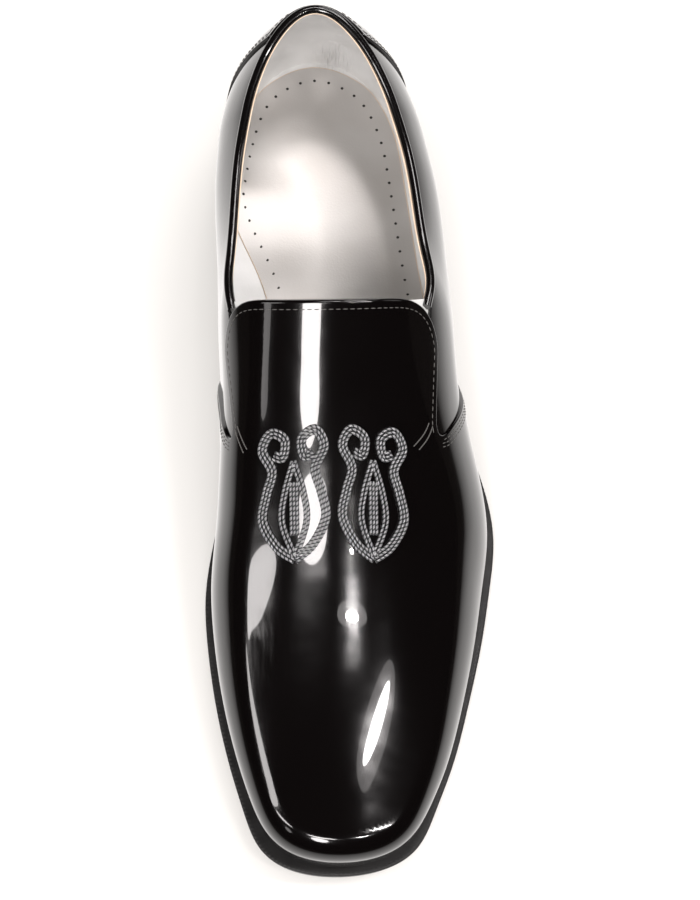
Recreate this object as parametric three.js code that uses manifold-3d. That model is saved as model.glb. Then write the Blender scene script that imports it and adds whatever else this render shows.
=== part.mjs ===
import * as THREE from "three";
import { mergeVertices } from "three/addons/utils/BufferGeometryUtils.js";
import Module from "manifold-3d";

const wasm = await Module();
wasm.setup();

// A left slip-on shoe in millimetres. +Z is up, the toe points to -Y and +X is the outer side of the foot.
// The origin is on the floor, under the middle of the heel's tread.
// Distances along the shoe, called s, run from the back of the sole towards the toe.

// Sole
const soleLength = 312;
const ballWidth = 104.5;
const heelHeight = 22;
const heelSlope = 0.03;
const breastAt = 68;
const breastHollow = 3;
const archStart = 60;
const treadStart = 190;
const treadEnd = 225;
const toeSpring = 9;
const liftThickness = 6;
const outsoleThickness = 4.5;
const weltThickness = 2.7;
const insoleThickness = 4.6;
const soleSetback = 0.6;
const heelSetback = 1.2;
const heelTaper = 1.8;
const originAt = 36;

// Upper
const instepHeight = 78;
const wall = 1.6;
const vampLayer = 1.3;
const counterLayer = 0.9;
const ledge = 3;
const heelCapLength = 45;
const toeCapLength = 63;
const heelOverhang = 3.3;
const heelLean = 9.6;
const leanHeight = 36;
const collarBack = 58;
const collarLow = 49;
const collarFront = 61;
const tongueAt = 126;
const tongueTilt = 0.4;
const tongueCorner = 7;
const seamPoint = 166;
const seamHeight = 50;
const seamRound = 7;
const seamFoot = 122;
const counterTop = 17;
const counterFoot = 56;
const bindingDiameter = 3.2;

// Cord ornament
const cordDiameter = 1.8;
const ornamentLength = 42;
const ornamentWidth = 25;
const ornamentGap = 3;
const ornamentAt = 186;

// Gap between pieces that touch
const clearance = 0.3;

// Outline of the sole. along is a share of the sole's length from its back, and the half-widths on each
// side of the heel-to-toe line are shares of the ball width. ledge is the share of the welt that shows.
const soleSections = [
  { along: 0.0, medial: 0.308, lateral: 0.306, ledge: 0.3 },
  { along: 0.1, medial: 0.313, lateral: 0.316, ledge: 0.3 },
  { along: 0.2, medial: 0.311, lateral: 0.34, ledge: 0.3 },
  { along: 0.3, medial: 0.302, lateral: 0.381, ledge: 0.3 },
  { along: 0.37, medial: 0.297, lateral: 0.431, ledge: 0.3 },
  { along: 0.44, medial: 0.304, lateral: 0.481, ledge: 0.45 },
  { along: 0.5, medial: 0.33, lateral: 0.534, ledge: 0.7 },
  { along: 0.55, medial: 0.367, lateral: 0.575, ledge: 0.9 },
  { along: 0.6, medial: 0.402, lateral: 0.59, ledge: 1.0 },
  { along: 0.66, medial: 0.431, lateral: 0.567, ledge: 1.0 },
  { along: 0.72, medial: 0.428, lateral: 0.533, ledge: 1.0 },
  { along: 0.8, medial: 0.4, lateral: 0.472, ledge: 1.0 },
  { along: 0.88, medial: 0.35, lateral: 0.397, ledge: 1.1 },
  { along: 0.93, medial: 0.314, lateral: 0.339, ledge: 1.2 },
  { along: 1.0, medial: 0.29, lateral: 0.297, ledge: 1.3 },
];

// Form of the last above the sole. Half-widths grow by the swell up to the swell height, and draw in by
// the lean above it, both shares of the ball width. The top line has the ridge's height as a share of the
// instep height, its shift to the side and its radius as shares of the ball width, and the edge is the
// radius that rounds the wall into the top, a share of the instep height.
const lastSections = [
  { along: 0.0, swellIn: 0.044, swellOut: 0.046, swellAt: 0.282, leanIn: 0.153, leanOut: 0.2 },
  { along: 0.1, swellIn: 0.052, swellOut: 0.051, swellAt: 0.282, leanIn: 0.151, leanOut: 0.187 },
  { along: 0.2, swellIn: 0.081, swellOut: 0.084, swellAt: 0.282, leanIn: 0.134, leanOut: 0.2 },
  { along: 0.3, swellIn: 0.088, swellOut: 0.071, swellAt: 0.282, leanIn: 0.062, leanOut: 0.153 },
  { along: 0.37, swellIn: 0.094, swellOut: 0.038, swellAt: 0.282, leanIn: 0.018, leanOut: 0.09 },
  { along: 0.44, swellIn: 0.085, swellOut: 0.006, swellAt: 0.27, leanIn: 0.01, leanOut: 0.098 },
  { along: 0.5, swellIn: 0.061, swellOut: -0.008, swellAt: 0.24, leanIn: 0.0, leanOut: 0.09 },
  { along: 0.55, swellIn: 0.038, swellOut: -0.002, swellAt: 0.205, leanIn: 0.0, leanOut: 0.07 },
  { along: 0.6, swellIn: 0.019, swellOut: 0.007, swellAt: 0.167, leanIn: 0.01, leanOut: 0.05 },
  { along: 0.66, swellIn: 0.009, swellOut: 0.007, swellAt: 0.141, leanIn: 0.01, leanOut: 0.03 },
  { along: 0.72, swellIn: 0.008, swellOut: 0.007, swellAt: 0.128, leanIn: 0.01, leanOut: 0.02 },
  { along: 0.8, swellIn: 0.007, swellOut: 0.007, swellAt: 0.115, leanIn: 0.0, leanOut: 0.0 },
  { along: 1.0, swellIn: 0.007, swellOut: 0.007, swellAt: 0.103, leanIn: 0.0, leanOut: 0.0 },
];
const ridgeSections = [
  { along: 0.0, height: 1.36, shift: 0.012, radius: 0.42, edge: 0.192 },
  { along: 0.3, height: 1.167, shift: 0.008, radius: 0.42, edge: 0.192 },
  { along: 0.37, height: 1.055, shift: 0.002, radius: 0.425, edge: 0.192 },
  { along: 0.44, height: 0.949, shift: -0.006, radius: 0.44, edge: 0.19 },
  { along: 0.5, height: 0.846, shift: -0.01, radius: 0.46, edge: 0.186 },
  { along: 0.55, height: 0.762, shift: -0.014, radius: 0.48, edge: 0.178 },
  { along: 0.6, height: 0.678, shift: -0.018, radius: 0.5, edge: 0.168 },
  { along: 0.66, height: 0.584, shift: -0.024, radius: 0.53, edge: 0.154 },
  { along: 0.72, height: 0.503, shift: -0.031, radius: 0.58, edge: 0.141 },
  { along: 0.8, height: 0.411, shift: -0.038, radius: 0.67, edge: 0.122 },
  { along: 0.88, height: 0.336, shift: -0.036, radius: 0.79, edge: 0.103 },
  { along: 0.94, height: 0.284, shift: -0.028, radius: 0.88, edge: 0.088 },
  { along: 1.0, height: 0.226, shift: -0.019, radius: 0.96, edge: 0.08 },
];

// Smooth curve through one column of a table: a natural cubic spline over the distance along the shoe.
function column(rows, name, scale) {
  const at = rows.map((row) => row.along * soleLength);
  const value = rows.map((row) => row[name] * scale);
  const count = rows.length;
  const bend = new Array(count).fill(0);
  const rest = new Array(count).fill(0);
  for (let i = 1; i < count - 1; i++) {
    const before = at[i] - at[i - 1];
    const after = at[i + 1] - at[i];
    const change = (value[i + 1] - value[i]) / after - (value[i] - value[i - 1]) / before;
    const pivot = 2 * (before + after) - before * rest[i - 1];
    rest[i] = after / pivot;
    bend[i] = (6 * change - before * bend[i - 1]) / pivot;
  }
  for (let i = count - 2; i > 0; i--) bend[i] -= rest[i] * bend[i + 1];
  return (s) => {
    const inside = Math.min(Math.max(s, at[0]), at[count - 1]);
    let i = 0;
    while (i < count - 2 && inside > at[i + 1]) i++;
    const span = at[i + 1] - at[i];
    const a = (at[i + 1] - inside) / span;
    const b = 1 - a;
    const curve = ((a ** 3 - a) * bend[i] + (b ** 3 - b) * bend[i + 1]) * (span ** 2 / 6);
    return a * value[i] + b * value[i + 1] + curve;
  };
}

const soleMedial = column(soleSections, "medial", ballWidth);
const soleLateral = column(soleSections, "lateral", ballWidth);
const ledgeWidth = column(soleSections, "ledge", ledge);
const swellIn = column(lastSections, "swellIn", ballWidth);
const swellOut = column(lastSections, "swellOut", ballWidth);
const swellAt = column(lastSections, "swellAt", instepHeight);
const leanIn = column(lastSections, "leanIn", ballWidth);
const leanOut = column(lastSections, "leanOut", ballWidth);
const ridgeHeight = column(ridgeSections, "height", instepHeight);
const ridgeShift = column(ridgeSections, "shift", ballWidth);
const ridgeRadius = column(ridgeSections, "radius", ballWidth);
const edgeRadius = column(ridgeSections, "edge", instepHeight);

// Height of the outsole's underside: level heel seat, arch, flat tread and toe spring.
function underside(s) {
  const t = Math.min(Math.max((s - archStart) / (treadStart - archStart), 0), 1);
  const arch = 1 - t ** 3 * (10 - 15 * t + 6 * t * t);
  const spring = Math.max(0, (s - treadEnd) / (soleLength - treadEnd));
  return (heelHeight - heelSlope * s) * arch + toeSpring * spring ** 2.5;
}

const outsoleTop = (s) => underside(s) + outsoleThickness;
const weltBottom = (s) => outsoleTop(s) + clearance;
const featherHeight = (s) => weltBottom(s) + weltThickness;

// The toe closes as a soft square and the heel as a near ellipse.
const toePower = 8;
const heelPower = 2.15;

// Plan field of an outline: below 1 inside it. Its ends are the places of heel back and toe tip.
function planField(x, s, medial, lateral, heelEnd, toeEnd) {
  const across = (x - (lateral - medial) / 2) / ((lateral + medial) / 2);
  const toeStart = soleLength - toeCapLength;
  const toe = Math.max(0, (s - toeStart) / (toeEnd - toeStart));
  const heel = Math.max(0, (heelCapLength - s) / (heelCapLength - heelEnd));
  return across ** 2 + toe ** toePower + heel ** heelPower;
}

const fullWall = wall + vampLayer;
const featherMedial = (s) => soleMedial(s) - ledgeWidth(s) - fullWall;
const featherLateral = (s) => soleLateral(s) - ledgeWidth(s) - fullWall;
const featherHeel = ledgeWidth(0) + fullWall;
const featherToe = soleLength - ledgeWidth(soleLength) - fullWall;

// A half-width that turns smoothly into the slimmest one instead of falling below it.
const slimmest = 6;
const slimTurn = 4;
function keepWide(value) {
  return (value + slimmest + Math.hypot(value - slimmest, slimTurn)) / 2;
}

// Side wall of the last: negative inside it, at height h above the feather line.
const leanPower = 1.8;
const leanLimit = 1.3;
function wallField(x, s, h) {
  const swellTop = swellAt(s);
  const rise = 1 - Math.max(0, 1 - h / swellTop) ** 3;
  const over = (Math.max(0, h - swellTop) / leanHeight) ** leanPower;
  const medial = keepWide(featherMedial(s) + swellIn(s) * rise - leanIn(s) * over);
  const lateral = keepWide(featherLateral(s) + swellOut(s) * rise - leanOut(s) * over);
  const heelEnd = featherHeel - heelOverhang * rise + heelLean * Math.min(over, leanLimit);
  const toeEnd = featherToe + swellOut(s) * rise;
  return planField(x, s, medial, lateral, heelEnd, toeEnd) - 1;
}

// Top of the last: negative under it.
function topField(x, s, h) {
  return h - ridgeHeight(s) + (x - ridgeShift(s)) ** 2 / (2 * ridgeRadius(s));
}

// A field divided by its own slope, which makes it a distance close to its surface.
function distance(field, x, s, h) {
  const e = 0.05;
  const slopeX = field(x + e, s, h) - field(x - e, s, h);
  const slopeS = field(x, s + e, h) - field(x, s - e, h);
  const slopeH = field(x, s, h + e) - field(x, s, h - e);
  const slope = Math.hypot(slopeX, slopeS, slopeH) / (2 * e);
  return field(x, s, h) / Math.max(slope, 0.001);
}

// Distance from the last, with the wall rounded into the top.
const edgePower = 2.5;
function lastDistance(x, s, h) {
  const side = distance(wallField, x, s, h);
  const top = distance(topField, x, s, h);
  const radius = edgeRadius(s);
  if (side < -radius || top < -radius) return Math.max(side, top);
  const sum = (side + radius) ** edgePower + (top + radius) ** edgePower;
  return sum ** (1 / edgePower) - radius;
}

// First place where a ray from inside the last is the given distance outside it.
function reach(start, direction, offset) {
  const at = (r) => lastDistance(
    start[0] + r * direction[0], start[1] + r * direction[1], start[2] + r * direction[2]) - offset;
  const step = 4;
  let far = step;
  while (at(far) < 0) far += step;
  let near = far - step;
  for (let i = 0; i < 22; i++) {
    const middle = (near + far) / 2;
    if (at(middle) < 0) near = middle;
    else far = middle;
  }
  return start.map((value, i) => value + near * direction[i]);
}

// Turns a list of corners and triangles into a solid, with its faces pointing out.
function solidFrom(corners, triangles) {
  let volume = 0;
  for (const [a, b, c] of triangles) {
    const [p, q, r] = [corners[a], corners[b], corners[c]];
    volume += p[0] * (q[1] * r[2] - q[2] * r[1]) - p[1] * (q[0] * r[2] - q[2] * r[0])
      + p[2] * (q[0] * r[1] - q[1] * r[0]);
  }
  const faces = volume > 0 ? triangles : triangles.map(([a, b, c]) => [a, c, b]);
  const vertProperties = new Float32Array(corners.flat());
  const triVerts = new Uint32Array(faces.flat());
  return new wasm.Manifold(new wasm.Mesh({ numProp: 3, vertProperties, triVerts }));
}

function solidFromGeometry(geometry) {
  geometry.deleteAttribute("normal");
  geometry.deleteAttribute("uv");
  const merged = mergeVertices(geometry, 1e-4);
  const vertProperties = new Float32Array(merged.attributes.position.array);
  const triVerts = new Uint32Array(merged.index.array);
  return new wasm.Manifold(new wasm.Mesh({ numProp: 3, vertProperties, triVerts }));
}

const yOf = (s) => originAt - s;

// Closed form of the last grown by an offset, from below the feather line to the ridge. Rays leave a spine
// inside it: they go round its plan in one angle and up to the ridge in the other.
const stepsRound = 60;
const stepsUp = 22;
const spineMiddle = 0.516 * soleLength;
const spineReach = 0.324 * soleLength;
const below = 6;
function lastForm(offset) {
  const half = stepsRound / 2;
  const corners = [];
  const index = [];
  const quarterTurn = Math.PI / 2;
  for (let i = 0; i < stepsRound; i++) {
    const turn = (2 * Math.PI * i) / stepsRound;
    const start = [0, spineMiddle + spineReach * Math.cos(turn), 0];
    index.push([]);
    for (let j = 0; j <= stepsUp; j++) {
      const lift = quarterTurn * (j / stepsUp);
      if (j === stepsUp && i > half) {
        index[i].push(index[stepsRound - i][j + 1]);
        continue;
      }
      const flat = Math.cos(lift);
      const direction = [Math.sin(turn) * flat, Math.cos(turn) * flat, Math.sin(lift)];
      const [x, s, h] = reach(start, direction, offset);
      if (j === 0) {
        corners.push([x, yOf(s), featherHeight(s) - below]);
        index[i].push(corners.length - 1);
      }
      corners.push([x, yOf(s), h + featherHeight(s)]);
      index[i].push(corners.length - 1);
    }
  }
  const triangles = [];
  const face = (a, b, c) => {
    if (a !== b && b !== c && c !== a) triangles.push([a, b, c]);
  };
  for (let i = 0; i < stepsRound; i++) {
    const next = (i + 1) % stepsRound;
    for (let j = 0; j <= stepsUp; j++) {
      face(index[i][j], index[next][j], index[next][j + 1]);
      face(index[i][j], index[next][j + 1], index[i][j + 1]);
    }
  }
  for (let i = 0; i < half; i++) {
    const across = (k) => index[(stepsRound - k) % stepsRound][0];
    face(index[i][0], across(i), across(i + 1));
    face(index[i][0], across(i + 1), index[i + 1][0]);
  }
  return solidFrom(corners, triangles);
}

// Block that spans the whole width, cut to an outline drawn in the side view: distance along the shoe and
// height above the feather line.
function sideBlock(path) {
  const halfSpan = ballWidth;
  const outline = path.getPoints(6).map((p) => new THREE.Vector2(yOf(p.x), p.y + featherHeight(p.x)));
  const shape = new THREE.Shape(outline);
  const geometry = new THREE.ExtrudeGeometry(shape, { depth: 2 * halfSpan, bevelEnabled: false });
  const position = geometry.attributes.position;
  for (let i = 0; i < position.count; i++) {
    position.setXYZ(i, position.getZ(i) - halfSpan, position.getX(i), position.getY(i));
  }
  return solidFromGeometry(geometry);
}

// Place of the tongue's top edge at a height: the tongue is cut square to the instep.
const tongueEdge = (h) => tongueAt + (h - instepHeight) * tongueTilt;

// The topline in the side view, low under the ankle and rising to the back and to the tongue.
const behind = 20;
const collarEnd = tongueEdge(collarFront);
const collarHeights = [
  { s: -behind, h: collarBack },
  { s: 0.05 * collarEnd, h: collarBack },
  { s: 0.235 * collarEnd, h: (collarBack + collarLow) / 2 },
  { s: 0.52 * collarEnd, h: collarLow },
  { s: 0.77 * collarEnd, h: collarLow + (collarFront - collarLow) * 0.2 },
  { s: collarEnd, h: collarFront },
];
const collarLine = new THREE.SplineCurve(collarHeights.map((p) => new THREE.Vector2(p.s, p.h)));
function collarHeight(s) {
  let [near, far] = [0, 1];
  for (let i = 0; i < 30; i++) {
    const middle = (near + far) / 2;
    if (collarLine.getPoint(middle).x < s) near = middle;
    else far = middle;
  }
  return collarLine.getPoint(near).y;
}

// All that is open above the topline and behind the tongue. The wall's edge lies under the binding.
const sky = 2 * instepHeight;
const bindingSeat = bindingDiameter + clearance;
function collarCut() {
  const path = new THREE.Path();
  path.moveTo(-behind, collarBack - bindingSeat);
  path.splineThru(collarHeights.slice(1).map((p) => new THREE.Vector2(p.s, p.h - bindingSeat)));
  path.lineTo(collarEnd, collarFront);
  path.lineTo(tongueEdge(sky), sky);
  path.lineTo(-behind, sky);
  return sideBlock(path);
}

// The vamp with its tongue, in the side view: down the tongue's side to the point of the seam, and from
// there back and down to the sole.
function vampBlock() {
  const path = new THREE.Path();
  const end = soleLength + behind;
  const cornerTop = collarFront + 2 * tongueCorner;
  path.moveTo(tongueEdge(sky), sky);
  path.lineTo(tongueEdge(cornerTop), cornerTop);
  path.quadraticCurveTo(collarEnd, collarFront, collarEnd + 2 * tongueCorner, seamHeight + tongueCorner / 2);
  path.lineTo(seamPoint - seamRound, seamHeight + 0.2 * seamRound);
  path.quadraticCurveTo(
    seamPoint + 0.4 * seamRound, seamHeight, seamPoint - 1.1 * seamRound, seamHeight - seamRound);
  path.quadraticCurveTo(seamPoint - 4 * seamRound, 0.44 * seamHeight, seamFoot, 0);
  path.lineTo(seamFoot - seamRound / 2, -2 * below);
  path.lineTo(end, -2 * below);
  path.lineTo(end, sky);
  return sideBlock(path);
}

// The counter round the heel, with its front edge swept back and up to the topline.
function counterBlock() {
  const path = new THREE.Path();
  path.moveTo(-behind, -2 * below);
  path.lineTo(counterFoot, -2 * below);
  path.lineTo(counterFoot, 0);
  path.quadraticCurveTo(1.5 * counterTop, collarBack / 2, counterTop, collarBack);
  path.lineTo(counterTop, sky);
  path.lineTo(-behind, sky);
  return sideBlock(path);
}

function upperSolid() {
  const vamp = lastForm(wall + vampLayer).intersect(vampBlock());
  const counter = lastForm(wall + counterLayer).intersect(counterBlock());
  const grown = lastForm(wall).add(vamp).add(counter);
  const foot = layer(
    () => ballWidth, () => ballWidth, -behind, soleLength + behind,
    (s) => featherHeight(s) - 3 * below, (s) => featherHeight(s) + clearance,
  );
  return grown.subtract(lastForm(0)).subtract(collarCut()).subtract(foot);
}

// Distances along at which an outline is cut into sections, close together where its ends turn.
function stations(heelEnd, toeEnd) {
  const endSteps = 9;
  const firstStep = 0.4;
  const quarterTurn = Math.PI / 2;
  const toeStart = soleLength - toeCapLength;
  const heelSide = [];
  const toeSide = [];
  for (let i = 1; i <= endSteps; i++) {
    const turn = Math.sin(quarterTurn * ((i - firstStep) / endSteps));
    heelSide.unshift(heelCapLength - turn ** (2 / heelPower) * (heelCapLength - heelEnd));
    toeSide.push(toeStart + turn ** (2 / toePower) * (toeEnd - toeStart));
  }
  const middle = [];
  const middleSteps = 26;
  for (let i = 1; i < middleSteps; i++) {
    middle.push(heelCapLength + (toeSide[0] - heelCapLength) * (i / middleSteps));
  }
  return [...heelSide, ...middle, ...toeSide];
}

// Half-width factor of an outline that its rounded ends leave at a station.
function endFactor(s, heelEnd, toeEnd) {
  return Math.sqrt(Math.max(0, 1 - planField(0, s, 1, 1, heelEnd, toeEnd)));
}

// Left and right edge of an outline at a station.
function edges(s, medial, lateral, heelEnd, toeEnd) {
  const centre = (lateral(s) - medial(s)) / 2;
  const half = ((lateral(s) + medial(s)) / 2) * endFactor(s, heelEnd, toeEnd);
  return [centre - half, centre + half];
}

// A layer of the sole: a slab inside an outline, between two heights that follow the shoe's profile.
function layer(medial, lateral, heelEnd, toeEnd, low, high) {
  const corners = [];
  const triangles = [];
  for (const s of stations(heelEnd, toeEnd)) {
    const [left, right] = edges(s, medial, lateral, heelEnd, toeEnd);
    corners.push([left, yOf(s), low(s)], [right, yOf(s), low(s)]);
    corners.push([right, yOf(s), high(s)], [left, yOf(s), high(s)]);
  }
  const last = corners.length - 4;
  for (let a = 0; a < last; a += 4) {
    for (let side = 0; side < 4; side++) {
      const [p, q] = [a + side, a + ((side + 1) % 4)];
      triangles.push([p, q, q + 4], [p, q + 4, p + 4]);
    }
  }
  triangles.push([0, 2, 1], [0, 3, 2], [last, last + 1, last + 2], [last, last + 2, last + 3]);
  return solidFrom(corners, triangles);
}

// Outline of the sole drawn in by an inset.
function soleOutline(inset) {
  return [(s) => soleMedial(s) - inset, (s) => soleLateral(s) - inset, inset, soleLength - inset];
}

// Outline of the last at its feather line, drawn in by an inset.
function featherOutline(inset) {
  const medial = (s) => featherMedial(s) - inset;
  const lateral = (s) => featherLateral(s) - inset;
  return [medial, lateral, featherHeel + inset, featherToe - inset];
}

function weltSolid() {
  const inner = layer(...featherOutline(0), (s) => weltBottom(s) - below, (s) => featherHeight(s) + below);
  return layer(...soleOutline(0), weltBottom, featherHeight).subtract(inner);
}

// Part of the heel between two heights: its outline tapers towards the floor, and its front is hollow.
function heelPart(low, high) {
  const ring = (height, inset) => {
    const [medial, lateral, heelEnd, toeEnd] = soleOutline(inset);
    const front = breastAt - inset;
    const back = stations(heelEnd, toeEnd).filter((s) => s < front - breastHollow);
    const sides = [...back, front].map((s) => [s, ...edges(s, medial, lateral, heelEnd, toeEnd)]);
    const right = sides.map(([s, , x]) => [x, yOf(s), height(s)]);
    const left = sides.map(([s, x]) => [x, yOf(s), height(s)]).reverse();
    const breast = [];
    const breastSteps = 8;
    for (let i = 1; i < breastSteps; i++) {
      const share = i / breastSteps;
      const s = front - breastHollow * 4 * share * (1 - share);
      const x = right.at(-1)[0] + (left[0][0] - right.at(-1)[0]) * share;
      breast.push([x, yOf(s), height(s)]);
    }
    return [...right, ...breast, ...left].reverse();
  };
  const share = (z) => 1 - z / heelHeight;
  const lower = ring(low, heelSetback + heelTaper * share(low(0)));
  const upper = ring(high, heelSetback + heelTaper * share(high(0)));
  const count = lower.length;
  const cap = THREE.ShapeUtils.triangulateShape(lower.map(([x, y]) => new THREE.Vector2(x, y)), []);
  const triangles = [];
  for (const [a, b, c] of cap) triangles.push([a, c, b], [a + count, b + count, c + count]);
  for (let i = 0; i < count; i++) {
    const next = (i + 1) % count;
    triangles.push([i, next, next + count], [i, next + count, i + count]);
  }
  return solidFrom([...lower, ...upper], triangles);
}

// Place on the topline in a direction round the shoe, in the middle of the wall.
function toplinePlace(turn) {
  const direction = [Math.sin(turn), Math.cos(turn), 0];
  let place = [0, 0, collarBack];
  for (let pass = 0; pass < 8; pass++) {
    const start = [0, spineMiddle + spineReach * Math.cos(turn), place[2]];
    place = reach(start, direction, wall / 2);
    place[2] = collarHeight(place[1]) - bindingDiameter / 2;
  }
  return place;
}

// Direction round the shoe in which the topline has come to a distance along, on one side of the heel.
function toplineTurn(s, side) {
  let [near, far] = [0, Math.PI / 2];
  for (let i = 0; i < 20; i++) {
    const middle = (near + far) / 2;
    if (toplinePlace(Math.PI + side * middle)[1] < s) near = middle;
    else far = middle;
  }
  return Math.PI + side * near;
}

// The binding lies on the wall's edge all along the topline, from one side of the tongue to the other.
function bindingSolid() {
  const end = collarEnd - bindingDiameter;
  const [first, last] = [toplineTurn(end, 1), toplineTurn(end, -1)];
  const pointCount = 40;
  const points = [];
  for (let i = 0; i <= pointCount; i++) {
    const [x, s, h] = toplinePlace(first + (last - first) * (i / pointCount));
    points.push(new THREE.Vector3(x, yOf(s), h + featherHeight(s)));
  }
  return tube(points, bindingDiameter / 2, 8, 64);
}

// A cord of round section along a curve.
function tube(points, radius, sides, steps) {
  const section = new THREE.Shape();
  for (let i = 0; i < sides; i++) {
    const turn = (2 * Math.PI * i) / sides;
    const [x, y] = [radius * Math.cos(turn), radius * Math.sin(turn)];
    if (i === 0) section.moveTo(x, y);
    else section.lineTo(x, y);
  }
  const extrudePath = new THREE.CatmullRomCurve3(points);
  return solidFromGeometry(new THREE.ExtrudeGeometry(section, { steps, extrudePath }));
}

// Halves of the scroll and of the leaf inside it: across and along from the middle of the ornament, as
// shares of its half-width and half-length.
const scrollCurve = [
  { across: 0.0, along: 1.0 },
  { across: 0.5, along: 0.78 },
  { across: 0.88, along: 0.36 },
  { across: 0.76, along: -0.06 },
  { across: 0.6, along: -0.4 },
  { across: 0.86, along: -0.74 },
  { across: 0.62, along: -0.98 },
  { across: 0.24, along: -0.86 },
  { across: 0.3, along: -0.6 },
  { across: 0.54, along: -0.64 },
];
const leafCurve = [
  { across: 0.0, along: 0.96 },
  { across: 0.34, along: 0.42 },
  { across: 0.26, along: -0.04 },
  { across: 0.0, along: -0.52 },
];

// One ornament: a scroll and half a leaf on each side of its middle, as cords that lie on the vamp.
function ornamentSolid(side) {
  const radius = cordDiameter / 2;
  const middle = (side * (ornamentGap + ornamentWidth)) / 2;
  const lay = (curve, mirror, steps) => {
    const points = curve.map((p) => {
      const x = middle + (mirror * p.across * ornamentWidth) / 2;
      const s = ornamentAt + (p.along * ornamentLength) / 2;
      const h = reach([x, s, 0], [0, 0, 1], fullWall + clearance + radius)[2];
      return new THREE.Vector3(x, yOf(s), h + featherHeight(s));
    });
    return tube(points, radius, 6, steps);
  };
  const scrolls = lay(scrollCurve, 1, 32).add(lay(scrollCurve, -1, 32));
  return scrolls.add(lay(leafCurve, 1, 10)).add(lay(leafCurve, -1, 10));
}

const slipper = new THREE.Group();

// Adds a solid as a named piece.
function addPiece(name, solid, material) {
  const mesh = solid.getMesh();
  const position = new Float32Array(mesh.vertProperties);
  const geometry = new THREE.BufferGeometry();
  geometry.setAttribute("position", new THREE.BufferAttribute(position, 3));
  geometry.setIndex(new THREE.BufferAttribute(new Uint32Array(mesh.triVerts), 1));
  geometry.computeVertexNormals();
  const piece = new THREE.Mesh(geometry, material);
  piece.name = name;
  slipper.add(piece);
}

const finish = (color, roughness, metalness) =>
  new THREE.MeshStandardMaterial({ color, roughness, metalness });

const insoleTop = (s) => outsoleTop(s) + clearance + insoleThickness;
addPiece("top_lift", heelPart(() => 0, () => liftThickness), finish(0x141414, 0.7, 0));
addPiece(
  "heel_block",
  heelPart(() => liftThickness + clearance, (s) => underside(s) - clearance),
  finish(0x0c0b0b, 0.35, 0),
);
addPiece("outsole", layer(...soleOutline(soleSetback), underside, outsoleTop), finish(0x0e0d0d, 0.4, 0));
addPiece("welt", weltSolid(), finish(0x1b1a1a, 0.6, 0));
addPiece(
  "insole",
  layer(...featherOutline(2 * clearance), (s) => outsoleTop(s) + clearance, insoleTop),
  finish(0xb9b8b6, 0.35, 0.8),
);
addPiece("upper", upperSolid(), finish(0x070505, 0.05, 0));
addPiece("collar_binding", bindingSolid(), finish(0x080606, 0.08, 0));
addPiece("ornament_medial", ornamentSolid(-1), finish(0x77787a, 0.4, 0.6));
addPiece("ornament_lateral", ornamentSolid(1), finish(0x77787a, 0.4, 0.6));

export default slipper;
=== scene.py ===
import math
import bmesh
import bpy
import numpy as np
from mathutils import Matrix, Vector
from mathutils.geometry import delaunay_2d_cdt


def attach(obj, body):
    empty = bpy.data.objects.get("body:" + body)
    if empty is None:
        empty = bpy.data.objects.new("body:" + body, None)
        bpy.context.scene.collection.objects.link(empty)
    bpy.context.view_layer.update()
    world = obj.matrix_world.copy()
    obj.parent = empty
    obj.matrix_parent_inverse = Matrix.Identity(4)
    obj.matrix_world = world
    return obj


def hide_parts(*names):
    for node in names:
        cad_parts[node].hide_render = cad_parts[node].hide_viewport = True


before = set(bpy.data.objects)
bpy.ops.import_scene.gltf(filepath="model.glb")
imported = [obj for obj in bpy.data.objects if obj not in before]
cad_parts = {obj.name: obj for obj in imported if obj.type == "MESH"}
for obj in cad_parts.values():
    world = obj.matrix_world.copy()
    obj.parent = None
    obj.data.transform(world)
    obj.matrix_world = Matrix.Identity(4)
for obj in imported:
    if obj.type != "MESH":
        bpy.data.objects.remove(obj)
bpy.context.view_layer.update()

# Heel: layers of stacked leather on a rubber top lift, trimmed to the outline of the sole.
# The sides taper a little to the floor, and the front face is hollow. The edges are inked black and waxed.
# Distances along the shoe, called s, run from the back of the sole to its toe in millimetres.
mm = 0.001
origin_at = 36.0
sole_length = 312.0
ball_width = 104.5
heel_height = 22.0
heel_slope = 0.03
arch_start = 60.0
tread_start = 190.0
tread_end = 225.0
toe_spring = 9.0
heel_cap_length = 45.0
toe_cap_length = 63.0
toe_power = 8.0
heel_power = 2.15
clearance = 0.3
breast_at = 68.0
breast_hollow = 3.0
lift_thickness = 6.0
heel_setback = 1.2
heel_taper = 1.8
heel_points = 260
edge_break = 0.3
tread_edge = ((0.6, 0.0), (0.18, 0.18), (0.0, 0.6))
block_waist = 0.36
block_head = 0.1
block_break = 0.4
stack_shares = (0.0, 0.5, 0.9)
sole_sections = {
    "along": [0, .1, .2, .3, .37, .44, .5, .55, .6, .66, .72, .8, .88, .93, 1],
    "medial": [.308, .313, .311, .302, .297, .304, .33, .367, .402, .431, .428, .4, .35, .314, .29],
    "lateral": [.306, .316, .34, .381, .431, .481, .534, .575, .59, .567, .533, .472, .397, .339, .297],
    "ledge": [.3, .3, .3, .3, .3, .45, .7, .9, 1, 1, 1, 1, 1.1, 1.2, 1.3],
}
fine_count = 1440
merge_within = 0.004


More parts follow.
